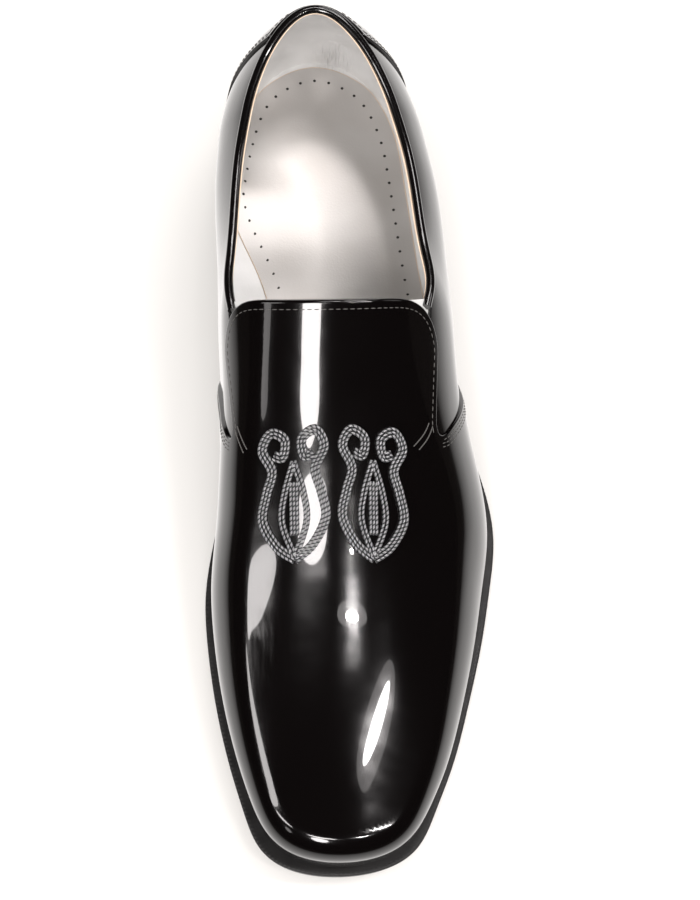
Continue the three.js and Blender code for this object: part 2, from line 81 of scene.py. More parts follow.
def smooth_column(table, name, scale):
    """Natural cubic spline through one column of a table, over the distance along the shoe."""
    at = np.array(table["along"]) * sole_length
    value = np.array(table[name]) * scale
    count = len(at)
    step = np.diff(at)
    system = np.eye(count)
    right = np.zeros(count)
    for i in range(1, count - 1):
        system[i, i - 1:i + 2] = step[i - 1], 2 * (step[i - 1] + step[i]), step[i]
        right[i] = 6 * ((value[i + 1] - value[i]) / step[i] - (value[i] - value[i - 1]) / step[i - 1])
    bend = np.linalg.solve(system, right)

    def at_distance(s):
        inside = np.clip(s, at[0], at[-1])
        i = np.clip(np.searchsorted(at, inside) - 1, 0, count - 2)
        a = (at[i + 1] - inside) / step[i]
        b = 1 - a
        curve = ((a ** 3 - a) * bend[i] + (b ** 3 - b) * bend[i + 1]) * step[i] ** 2 / 6
        return a * value[i] + b * value[i + 1] + curve

    return at_distance


sole_medial = smooth_column(sole_sections, "medial", ball_width)
sole_lateral = smooth_column(sole_sections, "lateral", ball_width)


def underside(s):
    """Height of the outsole's underside: heel seat, arch, flat tread and toe spring."""
    t = np.clip((s - arch_start) / (tread_start - arch_start), 0, 1)
    arch = 1 - t ** 3 * (10 - 15 * t + 6 * t * t)
    spring = np.maximum(0, (s - tread_end) / (sole_length - tread_end))
    return (heel_height - heel_slope * s) * arch + toe_spring * spring ** 2.5


def plan_field(x, s, medial, lateral, heel_end, toe_end):
    """Plan of an outline: below 1 inside it."""
    across = (x - (lateral - medial) / 2) / ((lateral + medial) / 2)
    toe_start = sole_length - toe_cap_length
    toe = np.maximum(0, (s - toe_start) / (toe_end - toe_start))
    heel = np.maximum(0, (heel_cap_length - s) / (heel_cap_length - heel_end))
    return across ** 2 + toe ** toe_power + heel ** heel_power


spine_middle = 0.516 * sole_length
spine_reach = 0.324 * sole_length


def no_shelf(s):
    return 0


def outline_ring(inset, count, shelf=no_shelf):
    """Outline of the sole, drawn in by a shelf and an inset, as seen from a spine along its middle."""
    turn = 2 * math.pi * np.arange(count) / count
    start = spine_middle + spine_reach * np.cos(turn)
    near = np.zeros(count)
    far = np.full(count, 120.0)
    heel_end = shelf(0) + inset
    toe_end = sole_length - shelf(sole_length) - inset
    for _ in range(36):
        middle = (near + far) / 2
        x = middle * np.sin(turn)
        s = start + middle * np.cos(turn)
        margin = shelf(s) + inset
        value = plan_field(x, s, sole_medial(s) - margin, sole_lateral(s) - margin, heel_end, toe_end)
        near = np.where(value < 1, middle, near)
        far = np.where(value < 1, far, middle)
    return np.stack([near * np.sin(turn), start + near * np.cos(turn)], 1)


def even_ring(ring, count):
    """A closed line cut again into steps of one length."""
    closed = np.vstack([ring, ring[:1]])
    length = np.concatenate([[0], np.cumsum(np.linalg.norm(np.diff(closed, axis=0), axis=1))])
    at = np.linspace(0, length[-1], count, endpoint=False)
    return np.stack([np.interp(at, length, closed[:, k]) for k in range(ring.shape[1])], 1)


def unit(rows):
    """Directions brought to length one."""
    return rows / np.linalg.norm(rows, axis=1)[:, None]


def turning(ring):
    """1 or -1, by the way round that a closed plan line runs."""
    x, y = ring[:, 0], ring[:, 1]
    return np.sign(np.sum(x * np.roll(y, -1) - y * np.roll(x, -1)))


def grow_ring(ring, distance):
    """A closed plan line moved outwards by a distance, or inwards by a negative one."""
    along = np.roll(ring, -1, 0) - np.roll(ring, 1, 0)
    out = unit(np.stack([along[:, 1], -along[:, 0]], 1))
    return ring + turning(ring) * np.reshape(distance, (-1, 1)) * out


def at_height(ring, height):
    """A plan line with a height for each of its points."""
    z = height(ring[:, 1]) if callable(height) else np.full(len(ring), float(height))
    return np.column_stack([ring, z])


def ring_faces(ring_count, count):
    """Faces between rings of points that lie one after the other."""
    faces = []
    for row in range(ring_count - 1):
        for i in range(count):
            a = row * count + i
            b = row * count + (i + 1) % count
            faces.append((a, b, b + count, a + count))
    return faces


def linked(name, data):
    """A new object in the scene."""
    piece = bpy.data.objects.new(name, data)
    bpy.context.scene.collection.objects.link(piece)
    return piece


def in_frame(directions):
    """Directions across, along and up the shoe, turned into the frame's."""
    turned = np.array(directions, float)
    turned[:, 1] = -turned[:, 1]
    return turned


def placed_mesh(name, points, ties=(), faces=()):
    """A mesh from points across, along and up the shoe in millimetres, in the frame's metres."""
    placed = np.array(points, float)
    placed[:, 1] = origin_at - placed[:, 1]
    mesh = bpy.data.meshes.new(name)
    mesh.from_pydata((placed * mm).tolist(), list(ties), list(faces))
    return mesh


def shoe_piece(name, points, faces, normals=None, crease=35.0):
    """An object from points on the shoe. Without normals of its own it is smooth up to the crease."""
    mesh = placed_mesh(name, points, faces=[tuple(int(i) for i in face) for face in faces])
    if normals is None:
        shape = bmesh.new()
        shape.from_mesh(mesh)
        bmesh.ops.remove_doubles(shape, verts=shape.verts, dist=merge_within * mm)
        bmesh.ops.recalc_face_normals(shape, faces=shape.faces)
        shape.to_mesh(mesh)
        shape.free()
        mesh.shade_smooth()
        mesh.set_sharp_from_angle(angle=math.radians(crease))
    else:
        turned = in_frame(normals)
        mesh.update()
        wrong = []
        for face in mesh.polygons:
            if face.normal.dot(Vector(turned[list(face.vertices)].sum(0))) < 0:
                wrong.append(face.index)
        for index in wrong:
            mesh.polygons[index].flip()
        mesh.update()
        mesh.shade_smooth()
        mesh.normals_split_custom_set_from_vertices(turned.tolist())
    return linked(name, mesh)


def ringed_piece(name, rows, crease=35.0):
    """An object whose skin runs from each ring of points to the next."""
    return shoe_piece(name, np.vstack(rows), ring_faces(len(rows), len(rows[0])), crease=crease)


def plain_finish(name, color, roughness, metallic=0.0, coat=0.0, coat_roughness=0.03):
    """A material with one Principled shader. Its constant values sit on the shader's own sockets."""
    material = bpy.data.materials.new(name)
    material.use_nodes = True
    shader = material.node_tree.nodes["Principled BSDF"]
    shader.inputs["Base Color"].default_value = (*color, 1)
    shader.inputs["Roughness"].default_value = roughness
    shader.inputs["Metallic"].default_value = metallic
    shader.inputs["Coat Weight"].default_value = coat
    shader.inputs["Coat Roughness"].default_value = coat_roughness
    return material


def node_group(name, kind, inputs, outputs):
    """Starts a node group with named sockets. Each has a kind and a first value."""
    tree = bpy.data.node_groups.new(name, kind)
    for in_out, sockets in (("INPUT", inputs), ("OUTPUT", outputs)):
        for label, (socket_kind, value) in sockets.items():
            full_kind = "NodeSocket" + socket_kind
            socket = tree.interface.new_socket(name=label, in_out=in_out, socket_type=full_kind)
            if value is not None:
                socket.default_value = value
    return tree, tree.nodes.new("NodeGroupInput").outputs


def add_node(tree, kind, inputs=(), **settings):
    """Adds a node with its settings. Each input takes a link from a socket, or a constant."""
    made = tree.nodes.new(kind)
    for label, value in settings.items():
        setattr(made, label, value)
    for label, value in dict(inputs).items():
        if isinstance(value, bpy.types.NodeSocket):
            tree.links.new(value, made.inputs[label])
        else:
            made.inputs[label].default_value = value
    return made


def calculated(tree, operation, *values):
    """Result of a math node on sockets and numbers."""
    return add_node(tree, "ShaderNodeMath", dict(enumerate(values)), operation=operation).outputs[0]


def build_leather_surface():
    """Node group for the skin of leather: pores, soft waves and a patchy tone."""
    tree, given = node_group("leather_surface", "ShaderNodeTree", {
        "Pore Size": ("Float", 0.6),
        "Pore Depth": ("Float", 0.02),
        "Wave Size": ("Float", 20.0),
        "Wave Depth": ("Float", 0.05),
    }, {"Height": ("Float", None), "Tone": ("Float", None)})
    place = add_node(tree, "ShaderNodeTexCoord").outputs["Object"]
    depths = []
    for label, detail, roughness in (("Pore", 3, 0.5), ("Wave", 2, 0.4)):
        per_metre = calculated(tree, "DIVIDE", 1 / mm, given[label + " Size"])
        noise = add_node(tree, "ShaderNodeTexNoise", {
            "Vector": place, "Scale": per_metre, "Detail": detail, "Roughness": roughness})
        tone = noise.outputs["Fac"]
        depths.append(calculated(tree, "MULTIPLY", tone, given[label + " Depth"]))
    add_node(tree, "NodeGroupOutput", {"Height": calculated(tree, "ADD", *depths), "Tone": tone})
    return tree


leather_surface = build_leather_surface()


def add_leather_surface(material, pore_size, pore_depth, wave_size, wave_depth, dark=None, light=None,
                        smooth=None, rough=None):
    """Gives a material the leather skin: bump, and a colour and roughness that follow its tone.

    Sizes and depths are in millimetres.
    """
    tree = material.node_tree
    shader = tree.nodes["Principled BSDF"]
    skin = add_node(tree, "ShaderNodeGroup", {
        "Pore Size": pore_size, "Pore Depth": pore_depth, "Wave Size": wave_size, "Wave Depth": wave_depth,
    }, node_tree=leather_surface)
    bump = add_node(tree, "ShaderNodeBump", {"Height": skin.outputs["Height"], "Strength": 1, "Distance": mm})
    tree.links.new(bump.outputs["Normal"], shader.inputs["Normal"])
    tone = skin.outputs["Tone"]
    if dark:
        blend = add_node(tree, "ShaderNodeMix", {"Factor": tone, "A": (*dark, 1), "B": (*light, 1)},
                         data_type="RGBA")
        tree.links.new(blend.outputs["Result"], shader.inputs["Base Color"])
    if smooth is not None:
        spread = add_node(tree, "ShaderNodeMapRange", {
            "Value": tone, "From Min": 0.3, "From Max": 0.7, "To Min": smooth, "To Max": rough})
        tree.links.new(spread.outputs["Result"], shader.inputs["Roughness"])


def seat(piece, material, slot, *cad_nodes):
    """Puts a finished piece on the frame."""
    piece.data.materials.clear()
    piece.data.materials.append(material)
    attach(piece, "root")
    for node in cad_nodes:
        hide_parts(node)
    return piece


def heel_ring():
    """Outline of the heel: the sole's outline up to the breast, and the hollow breast across it."""
    ring = outline_ring(heel_setback, fine_count)
    back = ring[ring[:, 1] < breast_at - breast_hollow]
    heel_middle = 40
    back = back[np.argsort(np.arctan2(back[:, 0], heel_middle - back[:, 1]))]
    share = np.linspace(0, 1, 60)
    left, right = back[0], back[-1]
    across = right[0] + (left[0] - right[0]) * share
    hollow = breast_at - breast_hollow * 4 * share * (1 - share)
    breast = np.stack([across, hollow], 1)
    ring = even_ring(np.vstack([back, breast]), heel_points)
    soft = np.ones(3) / 3
    for _ in range(2):
        wrapped = np.vstack([ring[-1:], ring, ring[:1]])
        ring = np.stack([np.convolve(wrapped[:, k], soft, "valid") for k in range(2)], 1)
    return ring


def stack_solid(name, ring, levels):
    """A solid from one plan line: each level has an inset and a height. Its ends close on the middle."""
    centre = ring.mean(0)
    rows = []
    for share in stack_shares:
        inner = centre + (grow_ring(ring, -levels[0][0]) - centre) * share
        rows.append(at_height(inner, levels[0][1]))
    for inset, height in levels:
        rows.append(at_height(grow_ring(ring, -inset), height))
    for share in reversed(stack_shares):
        inner = centre + (grow_ring(ring, -levels[-1][0]) - centre) * share
        rows.append(at_height(inner, levels[-1][1]))
    return ringed_piece(name, rows)


def taper_at(height):
    """How far the heel's side is drawn in at a height above the floor."""
    return heel_taper * (1 - height / heel_height)


heel_plan = heel_ring()
lift_levels = [(heel_taper + inset, height) for inset, height in tread_edge]
lift_levels += [(taper_at(lift_thickness) + 0.05, lift_thickness - edge_break)]
lift_levels += [(taper_at(lift_thickness) + edge_break, lift_thickness)]
top_lift = stack_solid("heel_top_lift", heel_plan, lift_levels)
rubber = plain_finish("heel_rubber", (0.007, 0.007, 0.007), 0.55)
add_leather_surface(rubber, 0.5, 0.05, 9.0, 0.02, (0.005, 0.005, 0.005), (0.011, 0.010, 0.010), 0.45, 0.65)
seat(top_lift, rubber, "heel_rubber", "top_lift")


def block_top(s):
    return underside(s) - clearance


block_low = lift_thickness + clearance
block_levels = [(taper_at(block_low) + edge_break, block_low), (taper_at(block_low), block_low + edge_break)]
block_levels += [(heel_taper * block_waist, lambda s: 0.5 * (block_low + block_top(s)))]
block_levels += [(heel_taper * block_head, lambda s: block_top(s) - block_break)]
block_levels += [(heel_taper * block_head + block_break, block_top)]
heel_block = stack_solid("heel_stack", heel_plan, block_levels)
stack_leather = plain_finish("heel_stack_leather", (0.006, 0.005, 0.005), 0.3)
add_leather_surface(stack_leather, 0.4, 0.03, 14.0, 0.04, (0.004, 0.0035, 0.0035), (0.010, 0.008, 0.0075),
                    0.3, 0.42)
seat(heel_block, stack_leather, "heel_stack", "heel_block")

# Outsole: one thin dress sole of leather, cut to the outline, arch and toe spring of the last.
# Its edge is rounded, inked and waxed, and its underside is plain.
outsole_thickness = 4.5
sole_setback = 0.6
edge_depth = 0.9
edge_roundness = 1.4
edge_parts = 8


def outsole_top(s):
    return underside(s) + outsole_thickness


def slab_rings(ring, spine, profile, shares):
    """Rows of a slab: inwards along its underside, round its edge and inwards along its top."""
    rows = []
    for share in shares:
        inner = ring + (spine - ring) * share
        rows.append(at_height(inner, profile[0][1]))
    for inset, height in profile:
        rows.append(at_height(grow_ring(ring, -inset), height))
    for share in reversed(shares):
        inner = ring + (spine - ring) * share
        rows.append(at_height(inner, profile[-1][1]))
    return rows


round_count = 480
round_turns = 2 * math.pi * np.arange(round_count) / round_count
sole_plan = outline_ring(sole_setback, round_count)
spine_line = np.stack([np.zeros(round_count), spine_middle + spine_reach * np.cos(round_turns)], 1)
inner_shares = (1.0, 0.8, 0.55, 0.3, 0.12, 0.05)
sole_profile = []
for step in range(edge_parts + 1):
    lean = math.pi * step / edge_parts
    rise = (1 - math.cos(lean)) / 2
    sole_profile.append((edge_depth * (1 - math.sin(lean)) ** edge_roundness,
                         lambda s, rise=rise: underside(s) + rise * outsole_thickness))
sole_rows = slab_rings(sole_plan, spine_line, sole_profile, inner_shares)
outsole = ringed_piece("dress_outsole", sole_rows)
sole_leather = plain_finish("sole_leather", (0.006, 0.005, 0.0045), 0.32)
add_leather_surface(sole_leather, 0.35, 0.03, 12.0, 0.05, (0.004, 0.0035, 0.003), (0.011, 0.009, 0.008),
                    0.3, 0.5)
seat(outsole, sole_leather, "sole_leather", "outsole")

# Welt: a narrow strip of leather stitched between the upper and the sole. Its ledge shows round the forepart
# and all but closes up at the waist and heel. A toothed wheel has pressed fine marks along its outer edge.
welt_thickness = 2.7
ledge = 3.0
wall = 1.6
vamp_layer = 1.3
wheel_pitch = 1.7
wheel_depth = 0.22
welt_points = 1800
welt_drop = 0.12
crown_fall = 0.42
crown_width = 0.6
tuck_extra = 0.5
welt_side = {"inset": [None, 0.5, 0.12, 0.0, 0.0], "drop": [1.0, 1.0, 0.9, 0.7, 0.3]}
welt_face = {"inset": [0.0, 0.1, 0.35, 0.75, 1.15, 1.5], "press": [1.0, 1.0, 1.0, 0.8, 0.25, 0.0]}
full_wall = wall + vamp_layer
ledge_width = smooth_column(sole_sections, "ledge", ledge)


def welt_bottom(s):
    return outsole_top(s) + clearance


def feather_height(s):
    return welt_bottom(s) + welt_thickness


welt_line = even_ring(outline_ring(0, fine_count), welt_points)
welt_length = np.linalg.norm(np.roll(welt_line, -1, 0) - welt_line, axis=1).sum()
wheel_count = round(welt_length / wheel_pitch)
wheel = 0.5 - 0.5 * np.cos(2 * math.pi * wheel_count * np.arange(len(welt_line)) / len(welt_line))
welt_rows = []
show = ledge_width(welt_line[:, 1])
tuck = show + full_wall + tuck_extra
for inset, drop in zip(*welt_side.values()):
    inward = tuck if inset is None else inset
    row = grow_ring(welt_line, -np.broadcast_to(inward, len(welt_line)))
    z = feather_height(row[:, 1]) - drop * welt_thickness
    welt_rows.append(np.column_stack([row, z]))
for inset, press in zip(*welt_face.values()):
    row = grow_ring(welt_line, -np.full(len(welt_line), inset))
    crown = crown_fall * max(0, 1 - inset / crown_width) ** 2
    z = feather_height(row[:, 1]) - welt_drop - crown - press * wheel_depth * wheel
    welt_rows.append(np.column_stack([row, z]))
row = grow_ring(welt_line, -tuck)
welt_rows.append(np.column_stack([row, feather_height(row[:, 1]) - welt_drop]))
welt_rows.append(welt_rows[0])
welt = ringed_piece("welt_strip", welt_rows, crease=60)
welt_leather = plain_finish("welt_leather", (0.009, 0.008, 0.008), 0.5)
add_leather_surface(welt_leather, 0.3, 0.05, 7.0, 0.03, (0.006, 0.0055, 0.0055), (0.014, 0.013, 0.013),
                    0.42, 0.62)
seat(welt, welt_leather, "welt_leather", "welt")

# Insole: a board of tan leather that closes the shoe from below, inside the welt and the upper.
# The lining is turned in over its edge, and the sock is glued on later, so nothing of it shows.
insole_thickness = 4.6
insole_gap = 0.6


def upper_margin(s):
    """How far the inside of the upper stands in from the outline of the sole."""
    return ledge_width(s) + full_wall


def insole_bottom(s):
    return outsole_top(s) + clearance


def sock_top(s):
    return insole_bottom(s) + insole_thickness


board_plan = outline_ring(insole_gap, round_count, upper_margin)
board_profile = [(0.4, insole_bottom), (0.0, lambda s: insole_bottom(s) + 0.4)]
board_profile += [(0.0, lambda s: sock_top(s) - 1.0)]
board_rows = slab_rings(board_plan, spine_line, board_profile, inner_shares)
board = ringed_piece("insole_board", board_rows)
raw_edge = plain_finish("raw_leather_edge", (0.62, 0.47, 0.34), 0.7)
add_leather_surface(raw_edge, 0.25, 0.06, 5.0, 0.05, (0.5, 0.36, 0.25), (0.76, 0.62, 0.48), 0.6, 0.8)
seat(board, raw_edge, "raw_edge", "insole")

# Upper: patent leather drawn over the last. The quarters run from the heel to under the vamp, which carries
# the high tongue, and a counter is laid over them at the back. The form of the last comes from the same
# sections as the solid part's, so every panel lies on its surface.
instep_height = 78.0
counter_layer = 0.9
heel_overhang = 3.3
heel_lean = 9.6
lean_height = 36.0
lean_power = 1.8
lean_limit = 1.3
edge_power = 2.5
slimmest = 6.0
slim_turn = 4.0
last_sections = {
    "along": [0, .1, .2, .3, .37, .44, .5, .55, .6, .66, .72, .8, 1],
    "swell_in": [.044, .052, .081, .088, .094, .085, .061, .038, .019, .009, .008, .007, .007],
    "swell_out": [.046, .051, .084, .071, .038, .006, -.008, -.002, .007, .007, .007, .007, .007],
    "swell_at": [.282, .282, .282, .282, .282, .27, .24, .205, .167, .141, .128, .115, .103],
    "lean_in": [.153, .151, .134, .062, .018, .01, 0, 0, .01, .01, .01, 0, 0],
    "lean_out": [.2, .187, .2, .153, .09, .098, .09, .07, .05, .03, .02, 0, 0],
}
ridge_sections = {
    "along": [0, .3, .37, .44, .5, .55, .6, .66, .72, .8, .88, .94, 1],
    "height": [1.36, 1.167, 1.055, .949, .846, .762, .678, .584, .503, .411, .336, .284, .226],
    "shift": [.012, .008, .002, -.006, -.01, -.014, -.018, -.024, -.031, -.038, -.036, -.028, -.019],
    "radius": [.42, .42, .425, .44, .46, .48, .5, .53, .58, .67, .79, .88, .96],
    "edge": [.192, .192, .192, .19, .186, .178, .168, .154, .141, .122, .103, .088, .08],
}
swell_in = smooth_column(last_sections, "swell_in", ball_width)
swell_out = smooth_column(last_sections, "swell_out", ball_width)
swell_at = smooth_column(last_sections, "swell_at", instep_height)
lean_in = smooth_column(last_sections, "lean_in", ball_width)
lean_out = smooth_column(last_sections, "lean_out", ball_width)
ridge_height = smooth_column(ridge_sections, "height", instep_height)
ridge_shift = smooth_column(ridge_sections, "shift", ball_width)
ridge_radius = smooth_column(ridge_sections, "radius", ball_width)
edge_radius = smooth_column(ridge_sections, "edge", instep_height)


def keep_wide(value):
    """A half-width that turns smoothly into the slimmest one instead of falling below it."""
    return (value + slimmest + np.hypot(value - slimmest, slim_turn)) / 2


def wall_field(x, s, h):
    """Side wall of the last: negative inside it, at height h above the feather line."""
    swell_top = swell_at(s)
    rise = 1 - np.maximum(0, 1 - h / swell_top) ** 3
    over = (np.maximum(0, h - swell_top) / lean_height) ** lean_power
    margin = upper_margin(s)
    medial = keep_wide(sole_medial(s) - margin + swell_in(s) * rise - lean_in(s) * over)
    lateral = keep_wide(sole_lateral(s) - margin + swell_out(s) * rise - lean_out(s) * over)
    heel_end = ledge_width(0) + full_wall - heel_overhang * rise + heel_lean * np.minimum(over, lean_limit)
    toe_end = sole_length - ledge_width(sole_length) - full_wall + swell_out(s) * rise
    return plan_field(x, s, medial, lateral, heel_end, toe_end) - 1


def top_field(x, s, h):
    """Top of the last: negative under it."""
    return h - ridge_height(s) + (x - ridge_shift(s)) ** 2 / (2 * ridge_radius(s))


def slope_of(field, x, s, h, e):
    """Slope of a field in its three directions."""
    across = (field(x + e, s, h) - field(x - e, s, h)) / (2 * e)
    along = (field(x, s + e, h) - field(x, s - e, h)) / (2 * e)
    up = (field(x, s, h + e) - field(x, s, h - e)) / (2 * e)
    return across, along, up


def last_distance(x, s, h):
    """Distance from the last, with the wall rounded into the top."""
    parts = []
    for field in (wall_field, top_field):
        slope = np.sqrt(sum(part ** 2 for part in slope_of(field, x, s, h, 0.05)))
        parts.append(field(x, s, h) / np.maximum(slope, 0.001))
    side, top = parts
    radius = edge_radius(s)
    total = np.maximum(side + radius, 0) ** edge_power + np.maximum(top + radius, 0) ** edge_power
    rounded = total ** (1 / edge_power) - radius
    return np.where((side < -radius) | (top < -radius), np.maximum(side, top), rounded)


def reach(start, direction, offset):
    """First places where rays from inside the last are a given distance outside it."""
    count = len(start)
    near = np.zeros(count)
    far = np.zeros(count)
    done = np.zeros(count, bool)
    stride = 4.0
    while not done.all() and far.max() < 200:
        trial = np.where(done, far, far + stride)
        at = start + direction * trial[:, None]
        out = last_distance(*at.T) >= offset
        near = np.where(done, near, np.where(out, trial - stride, trial))
        far = trial
        done |= out
    for _ in range(18):
        middle = (near + far) / 2
        at = start + direction * middle[:, None]
        out = last_distance(*at.T) >= offset
        far = np.where(out, middle, far)
        near = np.where(out, near, middle)
    return start + direction * near[:, None]


def bent(points):
    """Places above the feather line, set on the profile of the sole."""
    return np.column_stack([points[:, 0], points[:, 1], points[:, 2] + feather_height(points[:, 1])])


def surface_normals(points):
    """Outward directions of the surface through the points, after the bend."""
    across, along, up = slope_of(last_distance, *points.T, 0.15)
    s = points[:, 1]
    rise = (feather_height(s + 0.1) - feather_height(s - 0.1)) / 0.2
    return unit(np.stack([across, along - up * rise, up], 1))


# The surface of the last is laid out flat in confocal coordinates round its spine, so that a panel is cut
# and filled as a flat shape: rings of one lift are ellipses, and the ridge is the line between their foci.
flat_lift = 0.8
rim_steps = 7


def lay_flat(points):
    """Flat place of points on or near the last."""
    x, s, h = points.T
    side = np.where(x < 0, -1.0, 1.0)
    x = np.abs(x)
    near = np.zeros(len(x))
    far = np.full(len(x), math.pi)
    for _ in range(40):
        turn = (near + far) / 2
        short = (s - spine_middle - spine_reach * np.cos(turn)) * np.sin(turn) - x * np.cos(turn)
        far = np.where(short > 0, turn, far)
        near = np.where(short > 0, near, turn)
    turn = (near + far) / 2
    out = np.hypot(x, s - spine_middle - spine_reach * np.cos(turn))
    lift = np.arctan2(h, out)
    level = flat_lift * (1 - lift / (math.pi / 2))
    return np.stack([side * spine_reach * np.sinh(level) * np.sin(turn),
                     spine_reach * np.cosh(level) * np.cos(turn)], 1)


def raise_flat(places, offset):
    """Points on the last, at an offset, of flat places."""
    folded = np.arccosh((places[:, 1] + 1j * np.abs(places[:, 0])) / spine_reach)
    level, turn = np.abs(folded.real), np.abs(folded.imag)
    side = np.where(places[:, 0] < 0, -1.0, 1.0)
    lift = (1 - level / flat_lift) * math.pi / 2
    start = np.zeros((len(places), 3))
    start[:, 1] = spine_middle + spine_reach * np.cos(turn)
    direction = np.stack([side * np.sin(turn) * np.cos(lift), np.cos(turn) * np.cos(lift), np.sin(lift)], 1)
    return reach(start, direction, offset)


def inside_lines(places, lines):
    """Whether flat places lie inside closed lines, counting each line crossed."""
    inside = np.zeros(len(places), bool)
    for line in lines:
        ahead = np.roll(line, -1, 0)
        for a, b in zip(line, ahead):
            between = (a[1] > places[:, 1]) != (b[1] > places[:, 1])
            cross = a[0] + (places[:, 1] - a[1]) * (b[0] - a[0]) / (b[1] - a[1] + 1e-12)
            inside ^= between & (places[:, 0] < cross)
    return inside


def panel_piece(name, edges, offset, spacing, radius, depth, facing=1):
    """A panel of the upper. It fills the space between its edges on the last at an offset.

    Each edge is a closed line of points that lie on the last. The panel's rim is rolled by a radius and then
    goes down to a depth. Both may change from point to point. A lining has its facing at -1.
    """
    flat_edges = [lay_flat(edge) for edge in edges]
    border = np.vstack(flat_edges)
    low, high = border.min(0), border.max(0)
    rows = np.arange(low[1], high[1], spacing * math.sqrt(0.75))
    columns = np.arange(low[0], high[0], spacing)
    grid = np.array([(x + (i % 2) * spacing / 2, y) for i, y in enumerate(rows) for x in columns])
    grid = grid[inside_lines(grid, flat_edges)]
    free = np.ones(len(grid), bool)
    for part in np.array_split(np.arange(len(grid)), max(1, len(grid) // 2000)):
        gap = np.linalg.norm(grid[part][:, None, :] - border[None, :, :], axis=2).min(1)
        free[part] = gap > 0.6 * spacing
    grid = grid[free]
    places = np.vstack([border, grid])
    ties = []
    first = 0
    for edge in flat_edges:
        count = len(edge)
        ties += [(first + i, first + (i + 1) % count) for i in range(count)]
        first += count
    made = delaunay_2d_cdt([Vector(p) for p in places], ties, [], 0, 1e-6)
    places = np.array([tuple(p) for p in made[0]])
    faces = np.array([face for face in made[2] if len(face) == 3])
    middles = places[faces].mean(1)
    faces = faces[inside_lines(middles, flat_edges)]
    points = raise_flat(places, offset)
    normals = surface_normals(points)
    points = bent(points)
    found = {given: i for i, sources in enumerate(made[3]) for given in sources}
    faces = [tuple(face) for face in faces]
    first = 0
    for number, edge in enumerate(flat_edges):
        index = np.array([found[first + i] for i in range(len(edge))])
        first += len(edge)
        rim, up = points[index], normals[index]
        along = np.roll(rim, -1, 0) - np.roll(rim, 1, 0)
        out = unit(np.cross(along, up)) * turning(edge) * (1 if number == 0 else -1)
        size = np.broadcast_to(radius, len(index))[:, None]
        deep = np.broadcast_to(depth, len(index))[:, None]
        rolled = []
        for step in range(1, rim_steps + 1):
            lean = (math.pi / 2) * step / rim_steps
            place = rim + out * size * math.sin(lean) - up * size * (1 - math.cos(lean))
            rolled.append((place, up * math.cos(lean) + out * math.sin(lean)))
        rolled.append((rim + out * size - up * deep, out))
        previous = index
        for place, leaning in rolled:
            row = np.arange(len(points), len(points) + len(index))
            points = np.vstack([points, place])
            normals = np.vstack([normals, leaning])
            faces += list(zip(previous, np.roll(previous, -1), np.roll(row, -1), row))
            previous = row
    return shoe_piece(name, points, faces, normals * facing)


# Edges of the panels in the side view: distance along the shoe and height above the feather line.
tongue_at = 126.0
tongue_tilt = 0.4
tongue_corner = 7.0
collar_back = 58.0
collar_low = 49.0
collar_front = 61.0
seam_point = 166.0
seam_height = 50.0
seam_round = 7.0
seam_foot = 122.0
counter_top = 17.0
counter_foot = 40.0
fan_half = 1.35
topline_open = 0.12
binding_width = 3.4
binding_seat = 3.2 + clearance


def tongue_edge(h):
    return tongue_at + (h - instep_height) * tongue_tilt


collar_end = tongue_edge(collar_front)
collar_points = np.array([
    (-20, collar_back),
    (0.05 * collar_end, collar_back),
    (0.235 * collar_end, (collar_back + collar_low) / 2),
    (0.52 * collar_end, collar_low),
    (0.77 * collar_end, collar_low + (collar_front - collar_low) * 0.2),
    (collar_end, collar_front),
])


def through_points(points, steps):
    """Smooth curve through points, with the tangents of a Catmull-Rom spline."""
    padded = np.vstack([points[0], points, points[-1]])
    parts = []
    t = np.linspace(0, 1, steps, endpoint=False)[:, None]
    for i in range(1, len(padded) - 2):
        before, a, b, after = padded[i - 1:i + 3]
        leave, arrive = (b - before) / 2, (after - a) / 2
        parts.append(a * (2 * t ** 3 - 3 * t ** 2 + 1) + leave * (t ** 3 - 2 * t ** 2 + t)
                     + b * (3 * t ** 2 - 2 * t ** 3) + arrive * (t ** 3 - t ** 2))
    return np.vstack(parts + [padded[-1:]])


collar_curve = through_points(collar_points, 60)


def collar_height(s):
    return np.interp(s, collar_curve[:, 0], collar_curve[:, 1])


def bow(start, control, end, steps=24):
    """Curve from start to end that leans to its control point."""
    t = np.linspace(0, 1, steps)[:, None]
    start, control, end = (np.array(p, float) for p in (start, control, end))
    return start * (1 - t) ** 2 + 2 * control * t * (1 - t) + end * t ** 2


def on_side(line, side, offset):
    """A line of the side view, set on one side of the last."""
    line = np.array(line, float)
    start = np.column_stack([np.zeros(len(line)), line])
    direction = np.tile([float(side), 0.0, 0.0], (len(line), 1))
    return reach(start, direction, offset)


def over_ridge(offset, first_height):
    """The tongue's top edge, from a height on the inner side over the ridge to the outer side."""
    foot = np.array([0, tongue_edge(0), 0])
    fan = np.linspace(-fan_half, fan_half, 400)
    direction = np.stack([np.sin(fan), tongue_tilt * np.cos(fan), np.cos(fan)], 1)
    line = reach(np.tile(foot, (len(fan), 1)), direction, offset)
    return line[line[:, 2] > first_height]


def spine_rays(turn, height):
    """Level rays out of the spine of the last: their starts and their directions."""
    start = np.zeros((len(turn), 3))
    start[:, 1] = spine_middle + spine_reach * np.cos(turn)
    start[:, 2] = height
    direction = np.stack([np.sin(turn), np.cos(turn), np.zeros(len(turn))], 1)
    return start, direction


def along_feather(offset, height):
    """The line round the last at one height and offset."""
    turn = np.linspace(0, 2 * math.pi, 721)
    return reach(*spine_rays(turn, height), offset)[:-1]


